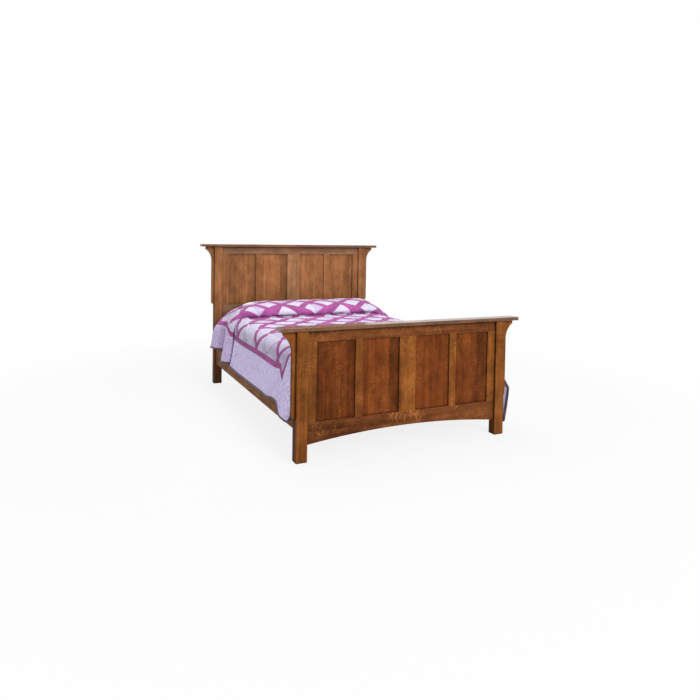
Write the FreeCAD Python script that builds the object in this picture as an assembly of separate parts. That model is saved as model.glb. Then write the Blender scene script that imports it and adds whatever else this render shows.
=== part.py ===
import FreeCAD, Part
import math
import os

# A queen panel bed in quarter-sawn oak, made up with a box spring, a mattress,
# two pillows and a quilt.  Millimetres, +Z up.  X runs across the bed and Y from
# the footboard to the headboard.  The origin lies on the floor below the centre.

Vec = FreeCAD.Vector

# --------------------------------------------------- the mattress sets the frame
mattress_width = 1524.0
mattress_length = 2032.0
side_room = 13.0                  # between the bedding and the side rails
head_gap = 11.0                   # between the bedding and the headboard's posts
foot_gap = 63.0                   # between the bedding and the footboard's posts

# ------------------------------------------------------------------ the frame
post_width = 78.0
post_depth = 64.0
post_ease = 2.0                   # chamfer along the post's edges and round its foot
post_tenon_width = 46.0           # stub tenon that holds the cap
post_tenon_depth = 34.0
post_tenon_height = 12.0

footboard_height = 860.0
headboard_height = 1355.0

cap_thickness = 24.0
cap_edge = 13.0                   # overhang past the front and back of the posts
footboard_cap_end = 114.0         # overhang past the posts' outer faces
headboard_cap_end = 130.0
cap_ease = 2.0

# --------------------------------------------------------- the framed panels
frame_thickness = 26.0
frame_setback = 16.0              # frame face behind the posts' front face
top_rail_height = 73.0
footboard_panel_base = 250.0      # upper edge of the arched bottom rail
arch_crown = 157.0                # underside of the arch at the middle
arch_spring = 107.0               # underside of the arch at the posts
headboard_panel_base = 765.0      # upper edge of the headboard's lower rail
headboard_lower_rail_height = 190.0
outer_stile_width = 65.0
mullion_width = 56.0
centre_stile_width = 130.0
panel_thickness = 8.0
panel_recess = 9.0                # panel face behind the frame's face
groove_depth = 10.0
panel_play = 1.5                  # room for the panel to swell, each edge
groove_clearance = 0.15

rail_tenon_thickness = 12.0
rail_tenon_length = 32.0
rail_tenon_shoulder = 12.0
stile_tenon_length = 22.0
stile_tenon_shoulder = 10.0
joint_clearance = 0.15            # each side of a tenon
mortise_end_gap = 1.0             # room left at the bottom of a mortise
cut_past = 1.0                    # how far a cutter runs past the face it opens

# -------------------------------------------------------------- the corbels
corbel_thickness = 26.0
corbel_strip = 25.0               # how far the straight part stands off the post
corbel_reach = 84.0               # how far the head stands off the post
corbel_nose = 24.0                # upright face of the head, under the cap
corbel_curve_height = 109.0       # concave curve below the nose
corbel_length = 568.0
corbel_foot_cut = 24.0            # slanting cut at the lower end

# ------------------------------------------------------- side rails and base
side_rail_height = 165.0
side_rail_thickness = 27.0
side_rail_inset = 18.0            # rail face behind the posts' outer faces
side_rail_base = 193.0            # height of its lower edge
side_rail_ease = 2.0

cleat_height = 38.0
cleat_thickness = 25.0
cleat_lift = 7.0                  # cleat's underside above the rail's lower edge
cleat_end_gap = 60.0
slat_count = 5
slat_width = 89.0
slat_thickness = 19.0
slat_end_gap = 3.0
leg_section = 45.0
leg_foot_section = 34.0
glide_radius = 12.0
glide_thickness = 4.0
glide_taper = 0.8                 # radius at the floor as a share of the radius above

# ------------------------------------------------- hook plates and slot plates
plate_height = 130.0
plate_width = 16.0
plate_thickness = 3.0
plate_drop = 17.0                 # plate's lower end above the rail's lower edge
hook_thickness = 3.0
hook_neck = 14.0                  # height of the part that passes the slot
hook_lip = 8.0                    # how far the hook drops behind the slot plate
hook_lip_thickness = 5.0
hook_centres = (32.0, 86.0)       # necks' lower edges above the plate's lower end
slot_clearance = 0.4
pocket_clearance = 1.5

# ------------------------------------------------------------------ bedding
box_spring_height = 200.0
mattress_height = 232.0
bedding_corner = 60.0             # rounded corners seen from above
mattress_edge = 58.0              # rounded top edge
soft_clearance = 0.3

pillow_width = 624.0
pillow_depth = 430.0
pillow_height = 116.0
pillow_corner = 46.0
pillow_draw_in = 14.0             # how far each side curves in between its corners
pillow_shift = 34.0               # the pair lies this far towards the right
pillow_shares = (0.5, 0.74, 0.89, 0.97)   # outlines of a pillow from crown to middle
pillow_gap = 30.0
pillow_head_gap = 62.0            # from the headboard's posts

quilt_thickness = 10.0
quilt_end_clearance = 3.0         # to the posts at both ends
quilt_foot_hang = 290.0           # how far it hangs down behind the footboard
quilt_foot_tuck = 58.0            # how far its crest drops at the foot
quilt_hem_gap = 24.0              # hem past the side rails' outer faces
quilt_hem_rise = 102.0            # hem above the side rails' lower edges
quilt_pillow_ease = 4.0           # slack over the pillows
quilt_tent_reach = 30.0           # past the posts' outer faces, beside the pillows
quilt_tent_drops = (120.0, 90.0)  # left and right: curve's end below the mattress top
quilt_tent_insets = (160.0, 40.0)     # crest's end in from each pillow's outer end
quilt_swell_reach = 8.0           # short of the posts' outer faces, where the tent begins
quilt_swell_drops = (76.0, 70.0)
quilt_swell_inset = 50.0

# ---------------------------------------------------------- worked-out places
rail_inner = mattress_width / 2 + side_room
rail_outer = rail_inner + side_rail_thickness
half_width = rail_outer + side_rail_inset     # over the outer faces of the posts
rail_length = mattress_length + head_gap + foot_gap
post_inner = half_width - post_width
foot_post_back = -rail_length / 2
head_post_front = rail_length / 2
foot_post_front = foot_post_back - post_depth

rail_middle = (rail_outer + rail_inner) / 2
rail_top = side_rail_base + side_rail_height
cleat_base = side_rail_base + cleat_lift
slat_base = cleat_base + cleat_height
slat_top = slat_base + slat_thickness
slat_length = 2 * (rail_inner - slat_end_gap)
slat_pitch = rail_length / (slat_count + 1)
slat_places = [foot_post_back + slat_pitch * (i + 1) for i in range(slat_count)]

bedding_head = head_post_front - head_gap
bedding_foot = bedding_head - mattress_length
mattress_base = slat_top + box_spring_height
mattress_top = mattress_base + mattress_height

panel_width = (2 * post_inner - 2 * outer_stile_width - 2 * mullion_width
               - centre_stile_width) / 4

near = 1e-3                       # places closer than this are the same place
nodes = {}


# ------------------------------------------------------------------- helpers
def box(x0, x1, y0, y1, z0, z1):
    """A plain block between two corners."""
    return Part.makeBox(x1 - x0, y1 - y0, z1 - z0, Vec(x0, y0, z0))


def eased(solid, size, direction=None):
    """Chamfer the straight edges that run along one direction, or all of them."""
    edges = solid.Edges
    if direction is not None:
        edges = [e for e in edges
                 if e.tangentAt(e.FirstParameter).cross(direction).Length < near]
    return solid.makeChamfer(size, edges)


def rounded_block(x0, x1, y0, y1, z0, z1, corner):
    """A block with its four upright corners rounded."""
    solid = box(x0, x1, y0, y1, z0, z1)
    upright = [e for e in solid.Edges if e.BoundBox.ZLength > near]
    return solid.makeFillet(corner, upright)


def mirrored(solid):
    """The same piece for the other side of the bed."""
    return solid.mirror(Vec(0, 0, 0), Vec(1, 0, 0))


def group(solids):
    """Like pieces that share one name."""
    return Part.makeCompound(solids)


# --------------------------------------------------- rail hardware, one corner
def at_corner(shape, foot_end):
    """Move hardware drawn for the left foot corner to either end of the left rail."""
    if foot_end:
        return shape
    return shape.mirror(Vec(0, 0, 0), Vec(0, 1, 0))


def hook_plate():
    """Steel plate let into the rail's end, with two hooks that reach into the post."""
    x0 = -rail_middle - plate_width / 2
    z0 = side_rail_base + plate_drop
    y0 = foot_post_back
    plate = box(x0, x0 + plate_width, y0, y0 + plate_thickness, z0, z0 + plate_height)
    reach = plate_thickness + soft_clearance + hook_lip_thickness
    behind = plate_thickness + soft_clearance
    for place in hook_centres:
        zn = z0 + place
        outline = [Vec(-rail_middle - hook_thickness / 2, y0 + plate_thickness, zn + hook_neck),
                   Vec(-rail_middle - hook_thickness / 2, y0 - reach, zn + hook_neck),
                   Vec(-rail_middle - hook_thickness / 2, y0 - reach, zn - hook_lip),
                   Vec(-rail_middle - hook_thickness / 2, y0 - behind, zn - hook_lip),
                   Vec(-rail_middle - hook_thickness / 2, y0 - behind, zn),
                   Vec(-rail_middle - hook_thickness / 2, y0 + plate_thickness, zn)]
        hook = Part.Face(Part.makePolygon(outline + outline[:1]))
        plate = plate.fuse(hook.extrude(Vec(hook_thickness, 0, 0)))
    return plate.removeSplitter()


def slot_plate():
    """Steel plate let into the post's face, with a slot for each hook."""
    x0 = -rail_middle - plate_width / 2
    z0 = side_rail_base + plate_drop
    y0 = foot_post_back
    plate = box(x0, x0 + plate_width, y0 - plate_thickness, y0, z0, z0 + plate_height)
    half_slot = hook_thickness / 2 + slot_clearance
    for place in hook_centres:
        zn = z0 + place
        plate = plate.cut(box(-rail_middle - half_slot, -rail_middle + half_slot,
                              y0 - plate_thickness - cut_past, y0 + cut_past,
                              zn, zn + hook_neck + hook_lip + slot_clearance))
    return plate.removeSplitter()


def post_recess():
    """What the slot plate and the hooks behind it take out of a post."""
    x0 = -rail_middle - plate_width / 2
    z0 = side_rail_base + plate_drop
    y0 = foot_post_back
    cut = box(x0, x0 + plate_width, y0 - plate_thickness, y0 + cut_past,
              z0, z0 + plate_height)
    half_pocket = hook_thickness / 2 + pocket_clearance
    deep = plate_thickness + soft_clearance + hook_lip_thickness + pocket_clearance
    for place in hook_centres:
        zn = z0 + place
        cut = cut.fuse(box(-rail_middle - half_pocket, -rail_middle + half_pocket,
                           y0 - deep, y0,
                           zn - hook_lip - pocket_clearance,
                           zn + hook_neck + hook_lip + pocket_clearance))
    return cut


# --------------------------------------------------------------- one bed end
def make_end(name, y_front, height, cap_end, panel_base, rail_height, arch, foot_end):
    """Posts, cap, framed panels and corbels of the footboard or the headboard."""
    under_cap = height - cap_thickness
    y_face = y_front + frame_setback
    y_back = y_face + frame_thickness
    y_mid = y_face + frame_thickness / 2
    post_mid = y_front + post_depth / 2
    groove_front = y_face + panel_recess - groove_clearance
    groove_back = y_face + panel_recess + panel_thickness + groove_clearance
    top_edge = under_cap - top_rail_height
    rail_base = panel_base - rail_height

    # the framing between the posts
    stiles = stile_spans()
    rail_ends = [(top_edge + rail_tenon_shoulder, under_cap - rail_tenon_shoulder),
                 (rail_base + rail_tenon_shoulder, panel_base - rail_tenon_shoulder)]
    top_rail = box(-post_inner, post_inner, y_face, y_back, top_edge, under_cap)
    low_rail = box(-post_inner, post_inner, y_face, y_back, rail_base, panel_base)
    if arch:
        low_rail = low_rail.cut(arch_cutter(y_face, y_back))
    top_rail = with_rail_tenons(top_rail, y_mid, rail_ends[0])
    low_rail = with_rail_tenons(low_rail, y_mid, rail_ends[1])
    top_rail = top_rail.cut(box(-post_inner, post_inner, groove_front, groove_back,
                                top_edge - cut_past, top_edge + groove_depth))
    low_rail = low_rail.cut(box(-post_inner, post_inner, groove_front, groove_back,
                                panel_base - groove_depth, panel_base + cut_past))
    mortise = stile_tenon_length + mortise_end_gap
    for x0, x1 in stiles.values():
        a = x0 + stile_tenon_shoulder - joint_clearance
        b = x1 - stile_tenon_shoulder + joint_clearance
        top_rail = top_rail.cut(box(a, b, groove_front, groove_back,
                                    top_edge, top_edge + mortise))
        low_rail = low_rail.cut(box(a, b, groove_front, groove_back,
                                    panel_base - mortise, panel_base))

    for stile, (x0, x1) in stiles.items():
        nodes[name + "_" + stile] = make_stile(x0, x1, y_face, panel_base, top_edge)
    for index, (x0, x1) in enumerate(panel_spans(stiles)):
        reach = groove_depth - panel_play
        nodes["%s_panel_%d" % (name, index + 1)] = box(
            x0 - reach, x1 + reach, y_face + panel_recess,
            y_face + panel_recess + panel_thickness,
            panel_base - reach, top_edge + reach)

    # the posts
    left = box(-half_width, -post_inner, y_front, y_front + post_depth, 0, under_cap)
    left = eased(left, post_ease, Vec(0, 0, 1))
    foot_edges = [e for e in left.Edges if e.BoundBox.ZMax < near]
    left = left.makeChamfer(post_ease, foot_edges)
    tenon_x = half_width - post_width / 2
    left = left.fuse(box(-tenon_x - post_tenon_width / 2, -tenon_x + post_tenon_width / 2,
                         post_mid - post_tenon_depth / 2, post_mid + post_tenon_depth / 2,
                         under_cap, under_cap + post_tenon_height))
    half_tenon = rail_tenon_thickness / 2 + joint_clearance
    for z0, z1 in rail_ends:
        left = left.cut(box(-post_inner - rail_tenon_length - mortise_end_gap,
                            -post_inner + cut_past, y_mid - half_tenon, y_mid + half_tenon,
                            z0 - joint_clearance, z1 + joint_clearance))
    left = left.cut(at_corner(post_recess(), foot_end))

    # the cap, on the posts' stub tenons
    reach = half_width + cap_end
    cap = eased(box(-reach, reach, y_front - cap_edge, y_front + post_depth + cap_edge,
                    under_cap, height), cap_ease)
    for side in (-1, 1):
        half_w = post_tenon_width / 2 + joint_clearance
        half_d = post_tenon_depth / 2 + joint_clearance
        cap = cap.cut(box(side * tenon_x - half_w, side * tenon_x + half_w,
                          post_mid - half_d, post_mid + half_d, under_cap - cut_past,
                          under_cap + post_tenon_height + mortise_end_gap))
    # the corbels, glued to the posts' outer faces
    corbel = make_corbel(post_mid, under_cap)

    nodes[name + "_post_left"] = left
    nodes[name + "_post_right"] = mirrored(left)
    nodes[name + "_corbel_left"] = corbel
    nodes[name + "_corbel_right"] = mirrored(corbel)
    nodes[name + "_cap"] = cap
    nodes[name + "_top_rail"] = top_rail
    nodes[name + ("_arched_rail" if arch else "_lower_rail")] = low_rail


def stile_spans():
    """Where each upright of the frame stands between the posts."""
    a = -post_inner
    b = a + outer_stile_width
    c = b + panel_width
    d = c + mullion_width
    e = centre_stile_width / 2
    return {"stile_left": (a, b), "mullion_left": (c, d), "centre_stile": (-e, e),
            "mullion_right": (-d, -c), "stile_right": (-b, -a)}


def panel_spans(stiles):
    """The four openings between the uprights."""
    row = list(stiles.values())
    return [(row[i][1], row[i + 1][0]) for i in range(len(row) - 1)]


def arch_cutter(y0, y1):
    """The space under the arched rail, from post to post."""
    start = y0 - cut_past
    left = Vec(-post_inner, start, arch_spring)
    right = Vec(post_inner, start, arch_spring)
    curve = Part.Arc(left, Vec(0, start, arch_crown), right).toShape()
    chord = Part.LineSegment(right, left).toShape()
    face = Part.Face(Part.Wire([curve, chord]))
    return face.extrude(Vec(0, y1 + cut_past - start, 0))


def with_rail_tenons(rail, y_mid, span):
    """Add the tenon at both ends of a rail."""
    half = rail_tenon_thickness / 2
    tenon = box(post_inner - rail_tenon_length, post_inner + rail_tenon_length,
                y_mid - half, y_mid + half, span[0], span[1])
    return rail.fuse([tenon, mirrored(tenon)]).removeSplitter()


def make_stile(x0, x1, y_face, z0, z1):
    """An upright with haunched stub tenons, grooved on the edges that hold a panel."""
    solid = box(x0, x1, y_face, y_face + frame_thickness, z0, z1)
    tongue_front = y_face + panel_recess
    tongue_back = tongue_front + panel_thickness
    haunch = groove_depth - panel_play
    solid = solid.fuse([
        box(x0, x1, tongue_front, tongue_back, z0 - haunch, z1 + haunch),
        box(x0 + stile_tenon_shoulder, x1 - stile_tenon_shoulder, tongue_front,
            tongue_back, z0 - stile_tenon_length, z1 + stile_tenon_length)])
    for edge, into in ((x0, 1), (x1, -1)):
        if abs(abs(edge) - post_inner) < near:
            continue
        a, b = sorted((edge - into, edge + into * groove_depth))
        solid = solid.cut(box(a, b, tongue_front - groove_clearance,
                              tongue_back + groove_clearance,
                              z0 - haunch - cut_past, z1 + haunch + cut_past))
    return solid.removeSplitter()


def make_corbel(y_mid, top):
    """Long bracket: an upright nose, a concave curve, then a thin straight strip."""
    y0 = y_mid - corbel_thickness / 2
    run = corbel_reach - corbel_strip
    radius = (run ** 2 + corbel_curve_height ** 2) / (2 * run)
    half_turn = math.asin(corbel_curve_height / radius) / 2
    x_post = -half_width
    nose_end = Vec(x_post - corbel_reach, y0, top - corbel_nose)
    curve_end = Vec(x_post - corbel_strip, y0, top - corbel_nose - corbel_curve_height)
    curve_mid = Vec(curve_end.x - radius * (1 - math.cos(half_turn)), y0,
                    curve_end.z + radius * math.sin(half_turn))
    foot = top - corbel_length
    corners = [Vec(x_post, y0, foot), Vec(x_post, y0, top),
               Vec(x_post - corbel_reach, y0, top), nose_end]
    edges = [Part.LineSegment(a, b).toShape() for a, b in zip(corners, corners[1:])]
    edges.append(Part.Arc(nose_end, curve_mid, curve_end).toShape())
    strip_end = Vec(x_post - corbel_strip, y0, foot + corbel_foot_cut)
    edges.append(Part.LineSegment(curve_end, strip_end).toShape())
    edges.append(Part.LineSegment(strip_end, corners[0]).toShape())
    return Part.Face(Part.Wire(edges)).extrude(Vec(0, corbel_thickness, 0))


# --------------------------------------------------------- side rails and base
def make_base():
    """Side rails with their hardware, cleats, slats and the legs under the slats."""
    hooks = [at_corner(hook_plate(), foot) for foot in (True, False)]
    slots = [at_corner(slot_plate(), foot) for foot in (True, False)]

    rail = eased(box(-rail_outer, -rail_inner, foot_post_back, head_post_front,
                     side_rail_base, rail_top), side_rail_ease, Vec(0, 1, 0))
    x0 = -rail_middle - plate_width / 2
    z0 = side_rail_base + plate_drop
    seat = box(x0, x0 + plate_width, foot_post_back - cut_past,
               foot_post_back + plate_thickness, z0, z0 + plate_height)
    for foot in (True, False):
        rail = rail.cut(at_corner(seat, foot))

    cleat_inner = rail_inner - cleat_thickness
    cleat = box(-rail_inner, -cleat_inner, foot_post_back + cleat_end_gap,
                head_post_front - cleat_end_gap, cleat_base, slat_base)
    for index, y in enumerate(slat_places):
        nodes["slat_%d" % (index + 1)] = box(-slat_length / 2, slat_length / 2,
                                             y - slat_width / 2, y + slat_width / 2,
                                             slat_base, slat_top)
    glides = []
    for index, y in enumerate(slat_places[1:-1]):
        nodes["support_leg_%d" % (index + 1)] = tapered_leg(y)
        glides.append(Part.makeCone(glide_radius * glide_taper, glide_radius,
                                    glide_thickness, Vec(0, y, 0), Vec(0, 0, 1)))

    nodes["side_rail_left"] = rail
    nodes["side_rail_right"] = mirrored(rail)
    nodes["cleat_left"] = cleat
    nodes["cleat_right"] = mirrored(cleat)
    nodes["rail_hook_plates"] = group(hooks + [mirrored(s) for s in hooks])
    nodes["post_slot_plates"] = group(slots + [mirrored(s) for s in slots])
    nodes["leg_glides"] = group(glides)


def tapered_leg(y):
    """A square leg under a slat, tapered on all four sides towards its glide."""
    foot = leg_foot_section / 2
    top = leg_section / 2
    leg = Part.makeWedge(-foot, 0, -foot, -top, -top,
                         foot, slat_base - glide_thickness, foot, top, top)
    leg.rotate(Vec(0, 0, 0), Vec(1, 0, 0), 90)
    leg.translate(Vec(0, y, glide_thickness))
    return leg


# ------------------------------------------------------------------- bedding
def make_bedding():
    half = mattress_width / 2
    nodes["box_spring"] = rounded_block(-half, half, bedding_foot, bedding_head,
                                        slat_top, mattress_base, bedding_corner)
    mattress = rounded_block(-half, half, bedding_foot, bedding_head,
                             mattress_base, mattress_top, bedding_corner)
    nodes["mattress"] = round_rim(mattress, mattress_edge, mattress_top)

    y = head_post_front - pillow_head_gap - pillow_depth / 2
    offset = (pillow_width + pillow_gap) / 2
    nodes["pillow_left"] = make_pillow(pillow_shift - offset, y)
    nodes["pillow_right"] = make_pillow(pillow_shift + offset, y)
    nodes["quilt"] = make_quilt()


def round_rim(solid, radius, height):
    """Round the rim of a pad's upper face."""
    rim = [e for e in solid.Edges
           if abs(e.BoundBox.ZMin - height) < near and abs(e.BoundBox.ZMax - height) < near]
    return solid.makeFillet(radius, rim)


def pillow_ring(x, y, z, share):
    """One level of a pillow, with its corners rounded off and its sides drawn in."""
    w = pillow_width / 2 * share
    d = pillow_depth / 2 * share
    c = pillow_corner * share
    dip = pillow_draw_in * share
    tip = c * (1 - math.sqrt(0.5))
    stops = [(w - c, d), (w, d - c), (w, c - d), (w - c, -d),
             (c - w, -d), (-w, c - d), (-w, d - c), (c - w, d)]
    middles = [(w - tip, d - tip), (w - dip, 0), (w - tip, tip - d), (0, dip - d),
               (tip - w, tip - d), (dip - w, 0), (tip - w, d - tip), (0, d - dip)]
    outline = [point for pair in zip(stops, middles) for point in pair]
    corners = [Vec(x + across, y + along, z) for across, along in outline]
    return Part.makePolygon(corners + corners[:1])


def make_pillow(x, y):
    """Crowned above and below, thin at its corners."""
    rise = [math.sqrt(1 - share ** 2) for share in pillow_shares]
    above = [(r / rise[0], share) for r, share in zip(rise, pillow_shares)]
    below = [(-r, share) for r, share in above]
    levels = below + [(0.0, 1.0)] + above[::-1]
    half = (pillow_height - soft_clearance) / 2
    middle = mattress_top + soft_clearance + half
    rings = [pillow_ring(x, y, middle + rise_share * half, share)
             for rise_share, share in levels]
    return Part.makeLoft(rings, True, True)


# The quilt is drawn as sections across the bed.  An edge is where the crest of a
# section ends, how far out the curve over the bed's side reaches, and its height.
flat_edge = (mattress_width / 2 - mattress_edge, mattress_width / 2 + soft_clearance,
             mattress_top - mattress_edge)
foot_edge = (flat_edge[0] - quilt_foot_tuck, flat_edge[1], flat_edge[2] - quilt_foot_tuck)
pillow_left_end = pillow_width + pillow_gap / 2 - pillow_shift
pillow_right_end = pillow_width + pillow_gap / 2 + pillow_shift
swell_left, swell_right = [
    (end - quilt_swell_inset, half_width - quilt_swell_reach, mattress_top - drop)
    for end, drop in zip((pillow_left_end, pillow_right_end), quilt_swell_drops)]
tent_left, tent_right = [
    (end - inset, half_width + quilt_tent_reach, mattress_top - drop)
    for end, inset, drop in zip((pillow_left_end, pillow_right_end), quilt_tent_insets,
                                quilt_tent_drops)]
hem_reach = rail_outer + quilt_hem_gap
hem_height = side_rail_base + quilt_hem_rise


def quilt_sections():
    """Sections from the foot to the head: place, crest, then both edges and hems.

    A hem is given as how far it stands out past, and above, the plain hem.
    """
    foot = quilt_end_clearance
    head = rail_length - quilt_end_clearance
    span = head - foot
    full = pillow_height + quilt_pillow_ease
    return [
        (foot, -quilt_foot_tuck, foot_edge, (28, -74), foot_edge, (109, -205)),
        (foot + 22, -quilt_foot_tuck / 3, flat_edge, (36, -70), flat_edge, (104, -192)),
        (foot + 66, 0, flat_edge, (24, -73), flat_edge, (86, -168)),
        (foot + 150, 0, flat_edge, (34, -68), flat_edge, (52, -120)),
        (foot + 240, 0, flat_edge, (18, -70), flat_edge, (24, -60)),
        (foot + 292, 0, flat_edge, (6, -4), flat_edge, (14, -12)),
        (foot + span * 0.30, 0, flat_edge, (8, 0), flat_edge, (0, 0)),
        (foot + span * 0.48, 0, flat_edge, (0, 4), flat_edge, (10, 4)),
        (foot + span * 0.62, 0, flat_edge, (6, 2), flat_edge, (2, -2)),
        (head - 590, 5, flat_edge, (0, 4), flat_edge, (8, 4)),
        (head - 525, 56, swell_left, (24, 10), swell_right, (6, 8)),
        (head - 482, full - 26, tent_left, (30, 6), tent_right, (26, 4)),
        (head - 430, full - 6, tent_left, (30, 12), tent_right, (34, 8)),
        (head - 372, full, tent_left, (14, 22), tent_right, (48, 16)),
        (head - 346, full, tent_left, (38, 76), tent_right, (20, 34)),
        (head - 250, full, tent_left, (58, 88), tent_right, (44, 52)),
        (head - 165, full, tent_left, (32, 92), tent_right, (26, 60)),
        (head - 80, full - 6, tent_left, (62, 88), tent_right, (50, 66)),
        (head, full - 34, tent_left, (46, 80), tent_right, (34, 70)),
    ]


def over_edge(sign, edge, inset, crest, y):
    """The arc that leaves the crest level and meets the side of the bed."""
    flat_x, side_x, side_z = edge
    side_x = side_x + quilt_thickness - inset
    run = side_x - flat_x
    drop = crest - side_z
    radius = (run ** 2 + drop ** 2) / (2 * drop)
    half_turn = math.atan2(drop, run)
    start = Vec(sign * flat_x, y, crest)
    middle = Vec(sign * (flat_x + radius * math.sin(half_turn)), y,
                 crest - radius * (1 - math.cos(half_turn)))
    end = Vec(sign * side_x, y, side_z)
    return start, middle, end


def quilt_wire(row):
    """One closed section: the upper surface, a hem, the lower surface, a hem."""
    place, rise, left, left_hem, right, right_hem = row
    y = foot_post_back + place
    under = mattress_top + soft_clearance + rise
    outlines = []
    for inset in (0.0, quilt_thickness):
        crest = under + quilt_thickness - inset
        ls, lm, le = over_edge(-1, left, inset, crest, y)
        rs, rm, re = over_edge(1, right, inset, crest, y)
        hem_left = Vec(inset - hem_reach - left_hem[0], y, hem_height + left_hem[1])
        hem_right = Vec(hem_reach + right_hem[0] - inset, y, hem_height + right_hem[1])
        outlines.append([Part.LineSegment(hem_left, le).toShape(),
                         Part.Arc(le, lm, ls).toShape(),
                         Part.LineSegment(ls, rs).toShape(),
                         Part.Arc(rs, rm, re).toShape(),
                         Part.LineSegment(re, hem_right).toShape()])
        ends = (hem_left, hem_right)
        if inset == 0.0:
            outer_ends = ends
    upper, lower = outlines
    edges = upper + [Part.LineSegment(outer_ends[1], ends[1]).toShape()]
    edges += [e for e in reversed(lower)]
    edges += [Part.LineSegment(ends[0], outer_ends[0]).toShape()]
    return Part.Wire(Part.__sortEdges__(edges))


def make_quilt():
    """A shell over the mattress and pillows, with the fall at the foot closed."""
    rows = quilt_sections()
    shell = Part.makeLoft([quilt_wire(row) for row in rows], True, True)
    y0 = foot_post_back + rows[0][0]
    top = mattress_top - quilt_foot_tuck
    fall = box(-foot_edge[0], foot_edge[0], y0, y0 + quilt_thickness,
               mattress_top - quilt_foot_hang, top + quilt_thickness / 2)
    return shell.fuse(fall).removeSplitter()


# ----------------------------------------------------------------- assembling
make_end(
    "footboard", foot_post_front, footboard_height, footboard_cap_end,
    footboard_panel_base, footboard_panel_base - arch_spring, True, True)
make_end(
    "headboard", head_post_front, headboard_height, headboard_cap_end,
    headboard_panel_base, headboard_lower_rail_height, False, False)
make_base()
make_bedding()

os.makedirs("parts", exist_ok=True)
for node, shape in nodes.items():
    shape.exportStep("parts/%s.step" % node)
    print("%-26s solids %3d  valid %s" % (node, len(shape.Solids), shape.isValid()))
print(len(nodes), "nodes")
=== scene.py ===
import math

import bmesh
import bpy
import numpy as np
from mathutils import Matrix, Vector


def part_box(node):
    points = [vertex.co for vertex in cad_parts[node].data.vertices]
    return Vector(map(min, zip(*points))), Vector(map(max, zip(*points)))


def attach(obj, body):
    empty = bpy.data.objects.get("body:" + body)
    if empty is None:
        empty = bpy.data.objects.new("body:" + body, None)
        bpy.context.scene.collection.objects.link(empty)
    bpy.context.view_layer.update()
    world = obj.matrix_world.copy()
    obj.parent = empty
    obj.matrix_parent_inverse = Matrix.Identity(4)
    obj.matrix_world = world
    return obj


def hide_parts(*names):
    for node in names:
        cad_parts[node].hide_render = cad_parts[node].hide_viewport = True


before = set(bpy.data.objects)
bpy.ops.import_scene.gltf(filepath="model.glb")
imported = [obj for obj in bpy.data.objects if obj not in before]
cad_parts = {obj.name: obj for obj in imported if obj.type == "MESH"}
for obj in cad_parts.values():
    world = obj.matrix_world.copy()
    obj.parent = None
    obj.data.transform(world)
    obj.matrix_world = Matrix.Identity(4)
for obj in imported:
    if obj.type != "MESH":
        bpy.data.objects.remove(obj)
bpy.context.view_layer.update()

bl_info = {
    "name": "Oak Panel Bed",
    "version": (1, 0, 0),
    "blender": (4, 5, 0),
    "location": "View3D > Sidebar > Bed",
    "description": "Stains the oak, dresses the bed and sets the studio for it",
    "category": "Object",
}

BODY = "root"


# ----------------------------------------------------------------- small helpers
def paint(red, green, blue):
    """A colour read off a paint card, 0 to 255, as the linear values shaders use."""
    def linear(value):
        share = value / 255
        return share / 12.92 if share <= 0.04045 else ((share + 0.055) / 1.055) ** 2.4
    return (linear(red), linear(green), linear(blue))


def length_property(name, about, default):
    return bpy.props.FloatProperty(
        name=name, description=about, default=default, unit="LENGTH", precision=4)


def colour_property(name, about, default):
    return bpy.props.FloatVectorProperty(
        name=name, description=about, default=default, subtype="COLOR", size=3,
        min=0.0, max=1.0)


def share_property(name, about, default):
    return bpy.props.FloatProperty(name=name, description=about, default=default,
                                   subtype="FACTOR", min=0.0, max=1.0)


def number_property(name, about, default):
    return bpy.props.FloatProperty(name=name, description=about, default=default)


def smooth_through(places, values, at):
    """A curve through the values that never swings past them."""
    x = np.asarray(places, float)
    y = np.asarray(values, float)
    run = np.diff(x)
    slope = np.diff(y) / run
    tangent = np.zeros_like(y)
    same_way = slope[:-1] * slope[1:] > 0
    a = 2 * run[1:] + run[:-1]
    b = run[1:] + 2 * run[:-1]
    with np.errstate(divide="ignore", invalid="ignore"):
        mean = (a + b) / (a / slope[:-1] + b / slope[1:])
    tangent[1:-1] = np.where(same_way, mean, 0.0)
    tangent[0], tangent[-1] = slope[0], slope[-1]
    at = np.clip(np.asarray(at, float), x[0], x[-1])
    i = np.clip(np.searchsorted(x, at, side="right") - 1, 0, len(x) - 2)
    h = run[i]
    t = (at - x[i]) / h
    return ((1 + 2 * t) * (1 - t) ** 2 * y[i] + t * (1 - t) ** 2 * h * tangent[i]
            + t * t * (3 - 2 * t) * y[i + 1] + t * t * (t - 1) * h * tangent[i + 1])


def ease(value, low, high):
    """0 below low, 1 above high, smooth between."""
    t = np.clip((np.asarray(value, float) - low) / (high - low), 0.0, 1.0)
    return t * t * (3 - 2 * t)


def swell(a, b, size_a, size_b, seed):
    """Soft random hills between -1 and 1, size_a by size_b metres apart."""
    table = np.random.RandomState(seed).uniform(-1, 1, (64, 64))
    p = np.asarray(a, float) / size_a + 16
    q = np.asarray(b, float) / size_b + 16
    i, j = np.floor(p).astype(int), np.floor(q).astype(int)
    s, t = p - i, q - j
    s, t = s * s * (3 - 2 * s), t * t * (3 - 2 * t)
    low = table[i % 64, j % 64] * (1 - s) + table[(i + 1) % 64, j % 64] * s
    high = table[i % 64, (j + 1) % 64] * (1 - s) + table[(i + 1) % 64, (j + 1) % 64] * s
    return low * (1 - t) + high * t


def smooth_faces(mesh):
    mesh.polygons.foreach_set("use_smooth", [True] * len(mesh.polygons))


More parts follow.
